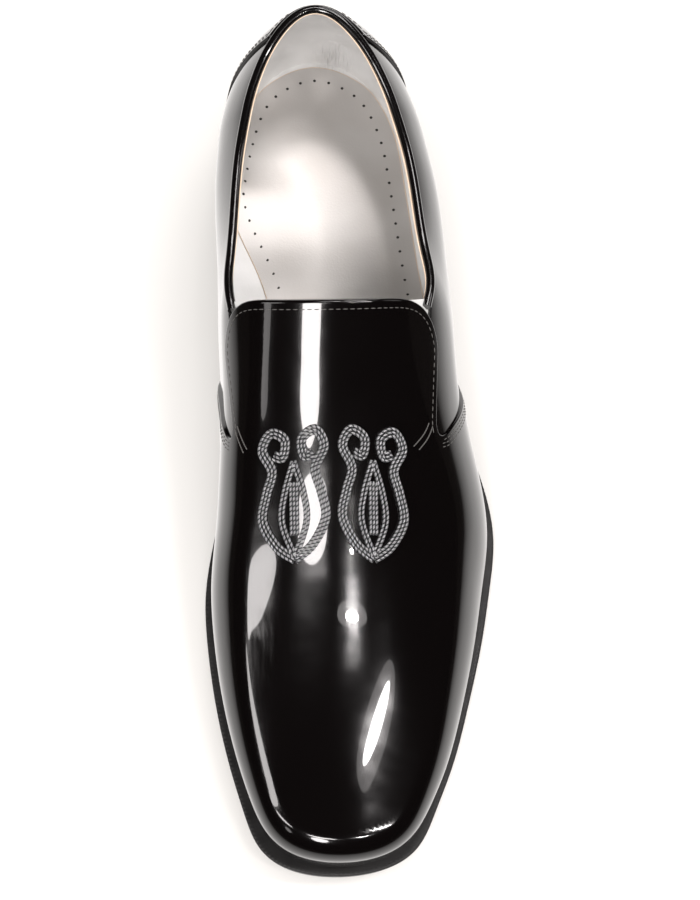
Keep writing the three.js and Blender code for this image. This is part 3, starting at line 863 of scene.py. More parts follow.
def even_line(line, pitch, closed=False):
    """A line cut again into steps of about one pitch."""
    if closed:
        line = np.vstack([line, line[:1]])
    length = np.concatenate([[0], np.cumsum(np.linalg.norm(np.diff(line, axis=0), axis=1))])
    count = max(2, round(length[-1] / pitch))
    at = np.linspace(0, length[-1], count + 1)
    line = np.stack([np.interp(at, length, line[:, k]) for k in range(line.shape[1])], 1)
    return line[:-1] if closed else line


def softened(line, passes):
    """A closed line with its corners rounded."""
    for _ in range(passes):
        line = (np.roll(line, 1, 0) + 2 * line + np.roll(line, -1, 0)) / 4
    return line


foot_height = -0.6
seam_line = np.vstack([
    bow((tongue_edge(collar_front + 2 * tongue_corner), collar_front + 2 * tongue_corner),
        (collar_end, collar_front), (collar_end + 2 * tongue_corner, seam_height + tongue_corner / 2)),
    bow((seam_point - seam_round, seam_height + 0.2 * seam_round),
        (seam_point + 0.4 * seam_round, seam_height),
        (seam_point - 1.1 * seam_round, seam_height - seam_round)),
    bow((seam_point - 1.1 * seam_round, seam_height - seam_round),
        (seam_point - 4 * seam_round, 0.44 * seam_height), (seam_foot, foot_height), 60)[1:],
])


def ring_between(offset, keep):
    """Points of the foot line whose distance along the shoe passes a test, in order round the shoe."""
    ring = along_feather(offset, foot_height)
    chosen = keep(ring[:, 1])
    first = int(np.argmax(chosen & ~np.roll(chosen, 1)))
    ring = np.roll(ring, -first, 0)
    chosen = np.roll(chosen, -first)
    return ring[chosen]


def build_wrinkles():
    """Node group for a patch of small folds, round a centre, that die out with distance."""
    tree, given = node_group("leather_wrinkles", "ShaderNodeTree", {
        "Centre": ("Vector", None),
        "Reach": ("Float", 10 * mm),
        "Fold Size": ("Vector", None),
        "Depth": ("Float", 0.1),
    }, {"Height": ("Float", None)})
    place = add_node(tree, "ShaderNodeTexCoord").outputs["Object"]
    away = add_node(tree, "ShaderNodeVectorMath", {0: place, 1: given["Centre"]}, operation="SUBTRACT")
    away = away.outputs["Vector"]
    distance = add_node(tree, "ShaderNodeVectorMath", {0: away}, operation="LENGTH").outputs["Value"]
    patch = add_node(tree, "ShaderNodeMapRange", {
        "Value": distance, "From Max": given["Reach"], "To Min": 1, "To Max": 0,
    }, interpolation_type="SMOOTHSTEP")
    fold = add_node(tree, "ShaderNodeVectorMath", {0: away, 1: given["Fold Size"]}, operation="DIVIDE")
    folds = add_node(tree, "ShaderNodeTexNoise", {"Vector": fold.outputs["Vector"], "Scale": 1, "Detail": 1})
    masked = calculated(tree, "MULTIPLY", folds.outputs["Fac"], patch.outputs["Result"])
    add_node(tree, "NodeGroupOutput", {"Height": calculated(tree, "MULTIPLY", masked, given["Depth"])})
    return tree


leather_wrinkles = build_wrinkles()


def add_wrinkles(material, centre, reach_out, fold_size, depth):
    """Adds a patch of wrinkles to the bump of a leather, all in millimetres of the frame."""
    tree = material.node_tree
    folds = add_node(tree, "ShaderNodeGroup", {
        "Centre": [value * mm for value in centre],
        "Reach": reach_out * mm,
        "Fold Size": [value * mm for value in fold_size],
        "Depth": depth,
    }, node_tree=leather_wrinkles)
    height = tree.nodes["Bump"].inputs["Height"]
    before = height.links[0].from_socket
    tree.links.new(calculated(tree, "ADD", before, folds.outputs["Height"]), height)


def panel_edge(top, side_line, offset, keep):
    """Closed edge of a panel: its top, down one side, round its foot and up the other side."""
    first = 1 if top[0, 0] > 0 else -1
    sides = {side: on_side(side_line, side, offset) for side in (-1, 1)}
    foot = ring_between(offset, keep)
    if np.sign(foot[0, 0]) == first:
        foot = foot[::-1]
    return np.vstack([top, sides[-first], foot, sides[first][::-1]])


vamp_offset = full_wall - 0.05
tongue_top = over_ridge(vamp_offset, collar_front + 2 * tongue_corner)
vamp_edge = panel_edge(tongue_top, seam_line, vamp_offset, lambda s: s > seam_foot)
vamp_edge = softened(even_line(vamp_edge, 1.0, closed=True), 12)
top_share = np.clip((vamp_edge[:, 2] - 62) / 10, 0, 1) * (vamp_edge[:, 1] < 140)
vamp = panel_piece("vamp_and_tongue", [vamp_edge], vamp_offset, 1.15,
                   0.6 + 0.5 * top_share, vamp_layer + 0.05 + 1.3 * top_share)
patent = plain_finish("black_patent", (0.0016, 0.0011, 0.0011), 0.14, coat=1.0, coat_roughness=0.02)
patent.node_tree.nodes["Principled BSDF"].inputs["Specular IOR Level"].default_value = 0.25
add_leather_surface(patent, 0.9, 0.0025, 21.0, 0.3)
add_wrinkles(patent, (-29, -200, 36), 24, (2.2, 11, 5), 0.16)
seat(vamp, patent, "patent_leather", "upper")

under_vamp = through_points(np.array([
    (collar_end + 1, collar_front - 3), (collar_end + 16, seam_height + 7), (seam_point - 4, seam_height + 5),
    (seam_point + 6, seam_height), (seam_point, seam_height - 9), (seam_point - 20, 0.44 * seam_height),
    (seam_foot + 10, foot_height)]), 20)


def topline_points(offset, drop):
    """The topline round the back of the shoe, from the inner front end to the outer one."""
    turn = np.linspace(topline_open, 2 * math.pi - topline_open, 900)
    place = np.full((len(turn), 3), collar_back)
    for _ in range(8):
        place = reach(*spine_rays(turn, place[:, 2]), offset)
        place[:, 2] = collar_height(place[:, 1]) - drop
    return place[place[:, 1] < collar_end]


topline = topline_points(wall, binding_seat - 1.0)
quarter_edge = panel_edge(topline, under_vamp, wall, lambda s: s < seam_foot + 10)
quarter_edge = even_line(quarter_edge, 1.1, closed=True)
quarters = panel_piece("quarters", [quarter_edge], wall, 1.25, 0.4, 1.2)
seat(quarters, patent, "patent_leather", "upper")

counter_side = np.vstack([
    bow((counter_top, collar_height(counter_top) - binding_seat + 0.6), (counter_top, 0.36 * collar_back),
        (counter_foot, 1.0), 60),
    [(counter_foot, foot_height)],
])
counter_offset = wall + counter_layer
counter_topline = topline_points(counter_offset, binding_seat - 0.6)
counter_topline = counter_topline[counter_topline[:, 1] < counter_top]
counter_edge = panel_edge(counter_topline, counter_side, counter_offset, lambda s: s < counter_foot)
counter_edge = even_line(counter_edge, 0.9, closed=True)
counter = panel_piece("counter", [counter_edge], counter_offset, 1.1, 0.4, counter_layer + 0.1)
seat(counter, patent, "patent_leather", "upper")

# Lining: thin silver kid inside the whole upper, in one with the look of the sock. Its cut edge shows as a
# fine tan line inside the binding, and it is a little wrinkled where it turns down to the sock at the heel.
lining_offset = 0.05
lining_foot = along_feather(lining_offset, 0.2)
lining_topline = topline_points(lining_offset, 1.3)
lining_ridge = over_ridge(lining_offset, collar_front - 1)
if lining_topline[0, 0] * lining_ridge[0, 0] > 0:
    lining_ridge = lining_ridge[::-1]
opening = even_line(np.vstack([lining_topline, lining_ridge]), 1.1, closed=True)
lining_edges = [even_line(lining_foot, 1.2, closed=True), opening]
lining = panel_piece("lining", lining_edges, lining_offset, 1.5, 0.1, 0.2, facing=-1)
lining_kid = plain_finish("silver_lining", (0.66, 0.655, 0.65), 0.42, metallic=0.15)
add_leather_surface(lining_kid, 0.8, 0.03, 12.0, 0.35, (0.54, 0.535, 0.525), (0.8, 0.795, 0.79), 0.36, 0.5)
add_wrinkles(lining_kid, (7, 30, 36), 11, (1.2, 7, 9), 2.6)
seat(lining, lining_kid, "lining_leather", "upper")

# Sock: a cover of silver kid, glued over the insole and the turned-in lining, with a pad under its arch.
# Its cut edge shows a tan core, and a row of pinholes runs a little inside that edge. On the inner side of
# the waist it is cut clear of the wall, and there the lining shows beside it.
sock_thickness = 0.5
sock_level = sock_top(0) - feather_height(0)
arch_slope = 0.16
arch_soft = 5.0
arch_line = {"along": [30, 38, 47, 55, 66, 80, 110, 180], "across": [-34, -17, -10, -5, -1, 2, 5, 5]}
arch_begins = (22, 60)
arch_ends = (120, 180)
back_gap = 1.7
back_ends = (3, 17)
waist_cut = 15.0
waist_begins = (56, 108)
waist_ends = (140, 190)
pinhole_inset = 5.6
pinhole_pitch = 5.5
pinhole_width = 1.15


def eased(value, start, end):
    """A smooth step from 0 at the start to 1 at the end."""
    t = np.clip((value - start) / (end - start), 0, 1)
    return t * t * (3 - 2 * t)


def arch_rise(x, s):
    """Height that the arch pad adds under the inner side of the sock."""
    inward = np.interp(s, arch_line["along"], arch_line["across"]) - x
    ramp = (inward + np.hypot(inward, arch_soft)) / 2
    return arch_slope * ramp * eased(s, *arch_begins) * (1 - eased(s, *arch_ends))


def on_sock(plan, drop=0.0):
    """A plan line laid on the sock, or a drop below its face."""
    return np.column_stack([plan, sock_top(plan[:, 1]) + arch_rise(*plan.T) - drop])


def lining_ring(offset):
    """The plan line where the face of the sock meets the inside of the upper."""
    place = spine_rays(round_turns, 0)[0]
    for _ in range(8):
        level = sock_level + arch_rise(place[:, 0], place[:, 1])
        place = reach(*spine_rays(round_turns, level), offset)
    return place[:, :2]


floor_plan = lining_ring(-0.1)
sock_shares = (0.0, 0.03, 0.07, 0.12, 0.18, 0.25, 0.33, 0.42, 0.52, 0.62, 0.72, 0.82, 0.91, 1.0)
floor_rows = []
for share in sock_shares:
    floor_rows.append(on_sock(floor_plan + (spine_line - floor_plan) * share, sock_thickness))
lining_floor = ringed_piece("lining_turned_in", floor_rows)
seat(lining_floor, lining_kid, "lining_leather", "insole")

along_floor = floor_plan[:, 1]
at_back = back_gap * (1 - eased(along_floor, *back_ends))
at_waist = waist_cut * eased(along_floor, *waist_begins) * (1 - eased(along_floor, *waist_ends))
sock_plan = grow_ring(floor_plan, -(0.3 + at_back + at_waist * (floor_plan[:, 0] < 0)))
edge_steps = ((0.0, sock_thickness), (0.0, 0.1), (0.05, 0.02), (0.3, 0.02))
face_steps = ((0.22, 0.05), (0.26, 0.0))
edge_rows = [on_sock(grow_ring(sock_plan, -inset), drop) for inset, drop in edge_steps]
sock_edge = ringed_piece("sock_cut_edge", edge_rows)
seat(sock_edge, raw_edge, "raw_edge", "insole")

top_rows = [on_sock(grow_ring(sock_plan, -inset), drop) for inset, drop in face_steps]
for share in sock_shares[1:]:
    top_rows.append(on_sock(sock_plan + (spine_line - sock_plan) * share))
sock = ringed_piece("silver_sock", top_rows)
silver_kid = plain_finish("silver_kid", (0.49, 0.47, 0.455), 0.32, metallic=0.5)
add_leather_surface(silver_kid, 0.8, 0.035, 24.0, 0.1, (0.38, 0.355, 0.335), (0.6, 0.585, 0.57), 0.29, 0.36)
seat(sock, silver_kid, "sock_leather", "insole")


def finish_tree(tree, geometry, material):
    """Ends a Geometry Nodes tree with real geometry that carries the material."""
    real = add_node(tree, "GeometryNodeRealizeInstances", {"Geometry": geometry})
    paint = add_node(tree, "GeometryNodeSetMaterial", {
        "Geometry": real.outputs["Geometry"], "Material": material})
    add_node(tree, "NodeGroupOutput", {"Geometry": paint.outputs["Geometry"]})


def build_pinholes():
    """Geometry Nodes tree: a small dimple at every point of its input, painted dark as the shade in a hole.
    """
    tree, given = node_group("sock_pinholes", "GeometryNodeTree", {
        "Geometry": ("Geometry", None),
        "Width": ("Float", pinhole_width * mm),
        "Material": ("Material", None),
    }, {"Geometry": ("Geometry", None)})
    dimple = add_node(tree, "GeometryNodeMeshUVSphere", {
        "Segments": 12, "Rings": 6, "Radius": calculated(tree, "MULTIPLY", given["Width"], 0.5)})
    place = add_node(tree, "GeometryNodeInstanceOnPoints", {
        "Points": given["Geometry"], "Instance": dimple.outputs["Mesh"], "Scale": (1, 1, 0.12)})
    finish_tree(tree, place.outputs["Instances"], given["Material"])
    return tree


def point_cloud(name, points, **vectors):
    """Loose points on the shoe, with named directions on them, as the start of a nodes tree."""
    mesh = placed_mesh(name, points)
    for label, value in vectors.items():
        layer = mesh.attributes.new(label, "FLOAT_VECTOR", "POINT")
        layer.data.foreach_set("vector", in_frame(value).ravel())
    return linked(name, mesh)


def grown_by_nodes(cloud, tree, **sizes):
    """Runs a Geometry Nodes tree on an object and keeps its result as a plain mesh."""
    modifier = cloud.modifiers.new("made", "NODES")
    modifier.node_group = tree
    for item in tree.interface.items_tree:
        key = item.name.lower().replace(" ", "_")
        if item.item_type == "SOCKET" and item.in_out == "INPUT" and key in sizes:
            modifier[item.identifier] = sizes[key]
    bpy.context.view_layer.update()
    depsgraph = bpy.context.evaluated_depsgraph_get()
    made = bpy.data.meshes.new_from_object(cloud.evaluated_get(depsgraph))
    piece = linked(cloud.name + "_set", made)
    bpy.data.objects.remove(cloud)
    made.shade_smooth()
    return piece


pinhole_line = even_ring(grow_ring(sock_plan, -pinhole_inset), fine_count)
pinhole_steps = np.linalg.norm(np.roll(pinhole_line, -1, 0) - pinhole_line, axis=1).sum() / pinhole_pitch
pinhole_spots = on_sock(even_ring(pinhole_line, round(pinhole_steps)))
# Painted shade: each pinhole is a flat dimple coloured near black for the shade inside the hole.
pinhole_painted_shade = plain_finish("pinhole_shadow", (0.02, 0.018, 0.016), 0.8)
pinholes = grown_by_nodes(point_cloud("pinholes", pinhole_spots), build_pinholes(),
                          width=pinhole_width * mm, material=pinhole_painted_shade)
seat(pinholes, pinhole_painted_shade, "sock_leather")

# Binding: a bias strip of patent folded over the topline and sewn through, so that it stands as a round edge.
# It starts and ends under the corners of the tongue.


def round_strip(name, path, outs, ups, section):
    """A strip swept along a path. Each point of its section goes out and up from the path."""
    rows = [path + outs * a + ups * b for a, b in section]
    points = np.stack(rows, 1).reshape(-1, 3)
    count = len(section)
    faces = ring_faces(len(path), count)
    faces.append(tuple(range(count)))
    faces.append(tuple((len(path) - 1) * count + j for j in reversed(range(count))))
    return shoe_piece(name, points, faces, crease=70)


def topline_frame(offset, drop, extra):
    """The binding's path on the wall's edge, with its outward and upward directions."""
    line = topline_points(offset, drop)
    ends = []
    for end, before in ((line[0], line[3]), (line[-1], line[-4])):
        way = (end - before) / np.linalg.norm(end - before)
        ends.append(end + way * extra)
    line = even_line(np.vstack([ends[0], line, ends[1]]), 0.8)
    placed = bent(line)
    along = unit(np.gradient(placed, axis=0))
    normal = surface_normals(line)
    flat = unit(normal - along * np.sum(normal * along, axis=1)[:, None])
    up = np.cross(flat, along)
    up *= np.sign(up[:, 2])[:, None]
    return placed, flat, up


edge_path, edge_out, edge_up = topline_frame(wall / 2, binding_width / 2, 3.0)
binding_section = []
for step in range(20):
    lean = 2 * math.pi * step / 20
    binding_section.append((binding_width / 2 * math.cos(lean), binding_width / 2 * math.sin(lean)))
binding = round_strip("collar_binding_roll", edge_path, edge_out, edge_up, binding_section)
binding_patent = plain_finish("binding_patent", (0.002, 0.0015, 0.0015), 0.16, coat=1.0, coat_roughness=0.03)
add_leather_surface(binding_patent, 0.7, 0.006, 5.0, 0.06)
seat(binding, binding_patent, "piping", "collar_binding")

rim_path, rim_out, rim_up = topline_frame(-0.75, binding_width / 2 + 0.15, 1.0)
rim_section = [(-0.12, -0.9), (0.3, -0.9), (0.3, 0.62), (0.2, 0.7), (-0.04, 0.7), (-0.12, 0.6)]
lining_rim = round_strip("lining_cut_edge", rim_path, rim_out, rim_up, rim_section)
seat(lining_rim, raw_edge, "raw_edge", "upper")

# Stitching: waxed grey thread. One row follows the folded edge of the tongue, three rows hold the vamp to
# the quarters along the seam, two hold the counter, and a close double row tacks each corner of the
# tongue's foot.
stitch_length = 1.9
stitch_pitch = 2.5
stitch_width = 0.36
tongue_inset = 2.1
seam_insets = (0.9, 2.2, 3.5)
counter_insets = (1.0, 2.6)
tack_pitch = 0.9
tack_length = 1.1
tack_width = 0.5
tack_gap = 1.5


def build_stitch_row():
    """Geometry Nodes tree that lays one stitch on each point, turned along the row and out of the leather."""
    tree, given = node_group("stitch_row", "GeometryNodeTree", {
        "Geometry": ("Geometry", None),
        "Stitch Length": ("Float", stitch_length * mm),
        "Stitch Width": ("Float", stitch_width * mm),
        "Material": ("Material", None),
    }, {"Geometry": ("Geometry", None)})
    bead = add_node(tree, "GeometryNodeMeshUVSphere", {"Segments": 8, "Rings": 6, "Radius": 0.5})
    turn = {}
    for label, axis, pivot in (("along", "X", "AUTO"), ("facing", "Z", "X")):
        way = add_node(tree, "GeometryNodeInputNamedAttribute", {"Name": label}, data_type="FLOAT_VECTOR")
        turned = add_node(tree, "FunctionNodeAlignRotationToVector", {
            **turn, "Vector": way.outputs["Attribute"]}, axis=axis, pivot_axis=pivot)
        turn = {"Rotation": turned.outputs["Rotation"]}
    length, width = given["Stitch Length"], given["Stitch Width"]
    shape = add_node(tree, "ShaderNodeCombineXYZ", {"X": length, "Y": width, "Z": width})
    place = add_node(tree, "GeometryNodeInstanceOnPoints", {
        **turn,
        "Points": given["Geometry"],
        "Instance": bead.outputs["Mesh"],
        "Scale": shape.outputs["Vector"],
    })
    finish_tree(tree, place.outputs["Instances"], given["Material"])
    return tree


def row_beside(edge, offset, inset):
    """The closed line that runs inside a panel's edge at a distance from it, on the panel."""
    flat = lay_flat(edge)
    rim = raise_flat(flat, offset)
    placed = bent(rim)
    along = np.roll(placed, -1, 0) - np.roll(placed, 1, 0)
    inward = unit(np.cross(surface_normals(rim), along))
    moved = placed + turning(flat) * inward * inset
    moved[:, 2] -= feather_height(moved[:, 1])
    return raise_flat(lay_flat(moved), offset)


def stretches(line, keep):
    """The parts of a closed line that pass a test, each in order."""
    start = int(np.argmin(keep))
    line, keep = np.roll(line, -start, 0), np.roll(keep, -start)
    parts, current = [], []
    for point, kept in zip(line, keep):
        if kept:
            current.append(point)
        elif current:
            parts.append(np.array(current))
            current = []
    if current:
        parts.append(np.array(current))
    return [part for part in parts if len(part) > 3]


def sewn(name, parts, offset, pitch=stitch_pitch, length=stitch_length, width=stitch_width):
    """Stitches along lines that lie on a panel."""
    spots, alongs, ups = [], [], []
    for part in parts:
        line = even_line(part, pitch)
        line = raise_flat(lay_flat(line), offset)
        placed = bent(line)
        spots.append(placed)
        alongs.append(np.gradient(placed, axis=0))
        ups.append(surface_normals(line))
    cloud = point_cloud(name, np.vstack(spots), along=np.vstack(alongs), facing=np.vstack(ups))
    row = grown_by_nodes(cloud, stitch_tree, stitch_length=length * mm, stitch_width=width * mm,
                         material=waxed_thread)
    seat(row, waxed_thread, "thread")


stitch_tree = build_stitch_row()
waxed_thread = plain_finish("waxed_thread", (0.07, 0.066, 0.062), 0.5)
tongue_row = row_beside(vamp_edge, vamp_offset, tongue_inset)
above_notch = (tongue_row[:, 2] > seam_height - 1.5) & (tongue_row[:, 1] < seam_point - 4)
sewn("tongue_stitches", stretches(tongue_row, above_notch), vamp_offset)
seam_parts = []
for inset in seam_insets:
    seam_row = row_beside(vamp_edge, vamp_offset, inset)
    on_seam = (seam_row[:, 2] < seam_height - 3) & (seam_row[:, 1] < seam_point + 5) & (seam_row[:, 2] > 2)
    seam_parts += stretches(seam_row, on_seam)
sewn("seam_stitches", seam_parts, vamp_offset)
counter_parts = []
for inset in counter_insets:
    counter_row = row_beside(counter_edge, counter_offset, inset)
    at_front = (counter_row[:, 2] > 2) & (counter_row[:, 2] < collar_height(counter_row[:, 1]) - 5)
    at_front &= counter_row[:, 1] > 8
    counter_parts += stretches(counter_row, at_front)
sewn("counter_stitches", counter_parts, counter_offset)
tack_parts = []
for side in (-1, 1):
    for shift in (0, tack_gap):
        tack = np.array([(seam_point - 5 - shift * 0.5, seam_height + 2.5 + shift),
                         (seam_point + 3 - shift * 0.5, seam_height + 3.5 + shift)])
        tack_parts.append(on_side(even_line(tack, 0.5), side, vamp_offset))
sewn("corner_tacks", tack_parts, vamp_offset, tack_pitch, tack_length, tack_width)

# Ornament: two mirrored scrolls with a leaf inside, of silver and black cord twisted together and sewn down
# on the vamp by hand.
thin_cord = 1.2
cord_lift = 0.45 * thin_cord
lay_radius = 0.24 * thin_cord
twist_pitch = 1.7
ornament_length = 42.0
ornament_width = 25.0
ornament_gap = 3.0
ornament_at = 186.0
scroll_curve = {
    "across": [0, .5, .88, .76, .6, .86, .62, .24, .3, .54],
    "along": [1, .78, .36, -.06, -.4, -.74, -.98, -.86, -.6, -.64],
}
leaf_curve = {
    "across": [0, .34, .26, 0],
    "along": [.96, .42, -.04, -.52],
}


def build_twisted_cord():
    """Geometry Nodes tree for one strand that winds round the line it is given."""
    tree, given = node_group("twisted_cord", "GeometryNodeTree", {
        "Geometry": ("Geometry", None),
        "Strand Radius": ("Float", 0.5 * mm),
        "Lay Radius": ("Float", 0.4 * mm),
        "Pitch": ("Float", 3 * mm),
        "Start Turn": ("Float", 0.0),
        "Material": ("Material", None),
    }, {"Geometry": ("Geometry", None)})
    to_curve = add_node(tree, "GeometryNodeMeshToCurve", {"Mesh": given["Geometry"]})
    fine = add_node(tree, "GeometryNodeResampleCurve", {
        "Curve": to_curve.outputs["Curve"], "Length": 0.3 * mm}, mode="LENGTH")
    spot = add_node(tree, "GeometryNodeSplineParameter").outputs["Length"]
    turns = calculated(tree, "DIVIDE", spot, given["Pitch"])
    swing = add_node(tree, "ShaderNodeVectorRotate", {
        "Vector": add_node(tree, "GeometryNodeInputNormal").outputs["Normal"],
        "Axis": add_node(tree, "GeometryNodeInputTangent").outputs["Tangent"],
        "Angle": calculated(tree, "MULTIPLY_ADD", turns, 2 * math.pi, given["Start Turn"]),
    }, rotation_type="AXIS_ANGLE")
    push = add_node(tree, "ShaderNodeVectorMath", {
        0: swing.outputs["Vector"], "Scale": given["Lay Radius"]}, operation="SCALE")
    wind = add_node(tree, "GeometryNodeSetPosition", {
        "Geometry": fine.outputs["Curve"], "Offset": push.outputs["Vector"]})
    section = add_node(tree, "GeometryNodeCurvePrimitiveCircle", {
        "Resolution": 7, "Radius": given["Strand Radius"]})
    strand = add_node(tree, "GeometryNodeCurveToMesh", {
        "Curve": wind.outputs["Geometry"], "Profile Curve": section.outputs["Curve"], "Fill Caps": True})
    finish_tree(tree, strand.outputs["Mesh"], given["Material"])
    return tree


def line_object(name, lines):
    """Open lines of points on the shoe as edges of one mesh."""
    points, ties = [], []
    for line in lines:
        first = len(points)
        points += line.tolist()
        ties += [(first + i, first + i + 1) for i in range(len(line) - 1)]
    return linked(name, placed_mesh(name, points, ties=ties))


def laid_on_vamp(plan, lift):
    """A plan line laid on the vamp at a distance above it."""
    start = np.column_stack([plan, np.zeros(len(plan))])
    direction = np.tile([0.0, 0.0, 1.0], (len(plan), 1))
    return bent(reach(start, direction, full_wall + lift))


def beside(plan, distance):
    """A plan line moved sideways."""
    along = unit(np.gradient(plan, axis=0))
    return plan + distance * np.stack([along[:, 1], -along[:, 0]], 1)


cord_tree = build_twisted_cord()
silver_thread = plain_finish("silver_thread", (0.42, 0.42, 0.43), 0.3, metallic=0.8)
black_thread = plain_finish("black_thread", (0.02, 0.02, 0.022), 0.5)
cord_pairs = (-0.52 * thin_cord, 0.52 * thin_cord)
cord_triples = (-0.95 * thin_cord, 0, 0.95 * thin_cord)
vein_places = (-1.1, 0, 1.1)
vein_curve = {
    "across": [0, 0],
    "along": [.62, -.2],
}
for label, side in (("medial", -1), ("lateral", 1)):
    middle = side * (ornament_gap + ornament_width) / 2
    lines = []
    for curve, mirrors, places in ((scroll_curve, (-1, 1), cord_triples), (leaf_curve, (-1, 1), cord_pairs),
                                   (vein_curve, (1,), vein_places)):
        for mirror in mirrors:
            across = middle + mirror * np.array(curve["across"]) * ornament_width / 2
            along = ornament_at + np.array(curve["along"]) * ornament_length / 2
            plan = even_line(through_points(np.stack([across, along], 1), 16), 0.5)
            lines += [laid_on_vamp(beside(plan, place), cord_lift) for place in places]
    strands = (("silver_one", 0.0, 0.23, silver_thread), ("silver_two", 2.1, 0.23, silver_thread),
               ("black", 4.2, 0.28, black_thread))
    for strand, start_turn, strand_share, thread in strands:
        base = line_object(f"cord_{label}_{strand}", lines)
        cord = grown_by_nodes(base, cord_tree, strand_radius=strand_share * thin_cord * mm,
                              lay_radius=lay_radius * mm, pitch=twist_pitch * mm, start_turn=start_turn,
                              material=thread)
        seat(cord, thread, "silver_cord", f"ornament_{label}")

# Studio: a pale floor, soft lights and the camera of the photograph. To glossy rays the floor is a painted
# reflection: it glows bright near the shoe and dark further out, so the patent shows a bright band over
# black.
floor_size = 30
floor_level = -0.0002
painted_floor_glow = 1.1
air_light = 1.2
air_gleam = 0.01
lamp_tint = (1, 0.96, 0.95)
bpy.ops.mesh.primitive_plane_add(size=floor_size, location=(0, 0, floor_level))
floor = bpy.context.object
floor.name = "studio_floor"
paper = plain_finish("floor_white", (0.68, 0.67, 0.655), 0.9)
floor_tree = paper.node_tree
bright_middle = (0, 0.07 / 0.29, 0)
bright_reach = (1 / 0.13, 1 / 0.29, 1)
floor_place = add_node(floor_tree, "ShaderNodeTexCoord").outputs["Object"]
floor_fit = add_node(floor_tree, "ShaderNodeMapping", {
    "Vector": floor_place, "Location": bright_middle, "Scale": bright_reach})
floor_reach = add_node(floor_tree, "ShaderNodeVectorMath", {0: floor_fit.outputs["Vector"]},
                       operation="LENGTH").outputs["Value"]
painted_glow_fade = add_node(floor_tree, "ShaderNodeValToRGB", {
    "Fac": calculated(floor_tree, "MULTIPLY", floor_reach, 1 / 3)})
for element, position, color in zip(painted_glow_fade.color_ramp.elements, (0.30, 0.62),
                                    ((1, 0.97, 0.95, 1), (0.03, 0.027, 0.025, 1))):
    element.position = position
    element.color = color
# Painted reflection: glossy rays see this emission in place of the paper, bright near the shoe and dark
# further out.
painted_reflection_glow = add_node(floor_tree, "ShaderNodeEmission", {
    "Color": painted_glow_fade.outputs["Color"], "Strength": painted_floor_glow})
floor_path = add_node(floor_tree, "ShaderNodeLightPath")
floor_pick = add_node(floor_tree, "ShaderNodeMixShader", {
    "Fac": floor_path.outputs["Is Glossy Ray"],
    1: floor_tree.nodes["Principled BSDF"].outputs["BSDF"],
    2: painted_reflection_glow.outputs["Emission"],
})
floor_tree.links.new(floor_pick.outputs["Shader"], floor_tree.nodes["Material Output"].inputs["Surface"])
floor.data.materials.append(paper)

camera_place = np.array([-54.21, -460.37, 1043.16]) * mm
camera_tilt = math.radians(71.5)
camera_swing = 0.0180594
photo_focal = 2934.4
photo_height = 900
pan_right = 155
forward = np.array([math.cos(camera_tilt) * math.sin(camera_swing),
                    math.cos(camera_tilt) * math.cos(camera_swing), -math.sin(camera_tilt)])
right = np.array([math.cos(camera_swing), -math.sin(camera_swing), 0])
aim = forward * photo_focal + right * pan_right
aim /= np.linalg.norm(aim)
camera_up = np.cross(right, forward)
camera_right = np.cross(aim, camera_up)
camera_right /= np.linalg.norm(camera_right)
camera_up = np.cross(camera_right, aim)
lens = bpy.data.cameras.new("photo_camera")
lens.sensor_width = 36
lens.lens = lens.sensor_width * photo_focal / photo_height
lens.clip_start = 0.05
camera = linked("photo_camera", lens)
camera.matrix_world = Matrix([(*row, place) for row, place in zip(
    np.stack([camera_right, camera_up, -aim], 1), camera_place)] + [(0, 0, 0, 1)])
bpy.context.scene.camera = camera
bpy.context.scene.view_settings.view_transform = "Standard"


def mirrored_lamp(name, spot, rise, swing, roll, width, height, radiance, shape="ELLIPSE", away=1.15):
    """A soft light that a spot on the shoe mirrors to the camera.

    Its rise and swing are seen from that spot. The swing is 0 towards the heel, 90 to the outer side and 180
    towards the toe. Its width lies across the shoe, turned by the roll.
    """
    rise, swing, roll = math.radians(rise), math.radians(swing), math.radians(roll)
    way = Vector((math.cos(rise) * math.sin(swing), math.cos(rise) * math.cos(swing), math.sin(rise)))
    flat = (Vector((1, 0, 0)) - way * way.x).normalized()
    across = flat * math.cos(roll) + way.cross(flat) * math.sin(roll)
    lamp = bpy.data.lights.new(name, "AREA")
    lamp.shape = shape
    lamp.size = width
    lamp.size_y = height
    lamp.color = lamp_tint
    lamp.energy = radiance * math.pi * width * height
    holder = linked(name, lamp)
    holder.location = Vector(spot) * mm + way * away
    holder.rotation_euler = Matrix([across, way.cross(across), way]).transposed().to_euler()


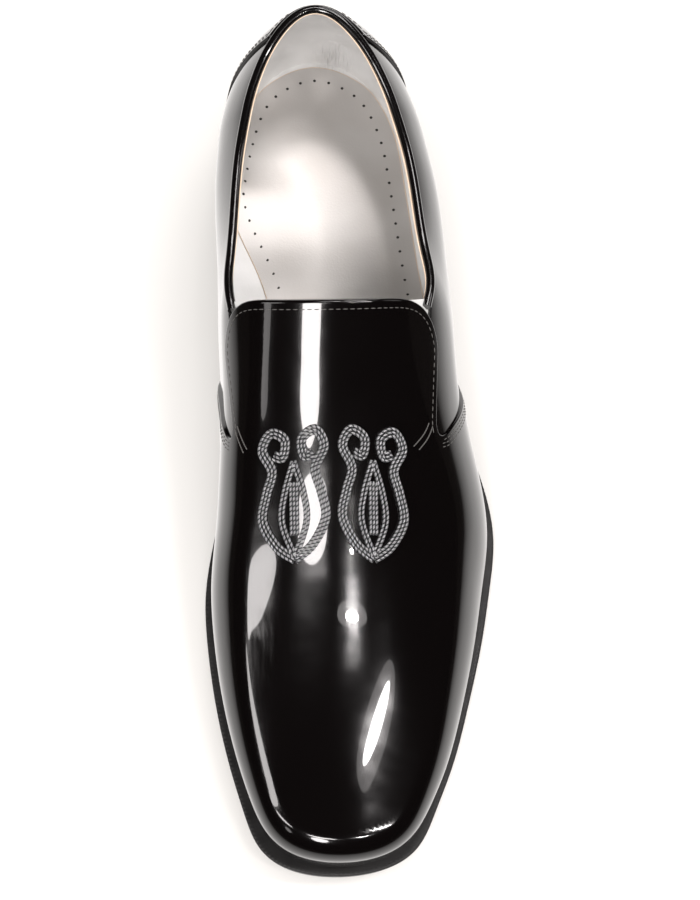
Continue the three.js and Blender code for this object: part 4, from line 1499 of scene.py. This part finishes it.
mirrored_lamp("front_window", (-8, -118, 79), 47, -164, 4, 0.27, 0.34, 15)
mirrored_lamp("front_sill", (-8, -164, 58), 63, -163, -2, 0.42, 0.11, 15)
mirrored_lamp("inner_window", (-27, -176, 49), 46, -111, -10, 0.42, 0.1, 9)
mirrored_lamp("inner_wall", (-24, -249, 36), 48, -90, 17, 0.6, 0.1, 7)
mirrored_lamp("inner_door", (-24, -105, 75), 30, -130, 0, 0.16, 0.24, 2.0)
mirrored_lamp("round_lamp", (6, -190, 49), 63, 135, 0, 0.16, 0.009, 340)
mirrored_lamp("round_glow", (6, -190, 49), 63, 135, 0, 0.38, 0.03, 3)
mirrored_lamp("outer_lamp", (14, -226, 39), 61, 95, -26, 0.44, 0.07, 38)
mirrored_lamp("outer_glow", (14, -226, 39), 61, 95, -26, 0.6, 0.18, 1.6)
mirrored_lamp("outer_window", (40, -140, 40), 24, 70, 10, 0.5, 0.16, 2.0)
mirrored_lamp("spark", (6, -167, 56), 59, 141, 0, 0.05, 0.006, 260)
mirrored_lamp("back_window", (-14, 16, 27), 65, 2, 0, 0.16, 0.1, 14, "RECTANGLE")
mirrored_lamp("arch_window", (-20, -24, 30), 60, 38, 0, 0.26, 0.3, 8, "RECTANGLE")
mirrored_lamp("back_strip", (26, -30, 72), 66, 12, 0, 0.08, 0.34, 10, "RECTANGLE")
mirrored_lamp("heel_window", (0, 40, 40), 30, 25, 0, 0.5, 0.4, 2.5, "RECTANGLE")

world = bpy.data.worlds.new("studio_air")
world.use_nodes = True
bpy.context.scene.world = world
air = world.node_tree
path_kind = add_node(air, "ShaderNodeLightPath").outputs
dim = air.nodes["Background"]
dim.inputs["Color"].default_value = (0.9, 0.95, 1, 1)
dim.inputs["Strength"].default_value = air_gleam
bright = add_node(air, "ShaderNodeBackground", {"Color": (1, 0.99, 0.97, 1), "Strength": air_light})
pick = add_node(air, "ShaderNodeMixShader", {
    "Fac": calculated(air, "MAXIMUM", path_kind["Is Diffuse Ray"], path_kind["Is Camera Ray"]),
    1: dim.outputs["Background"],
    2: bright.outputs["Background"],
})
air.links.new(pick.outputs["Shader"], air.nodes["World Output"].inputs["Surface"])
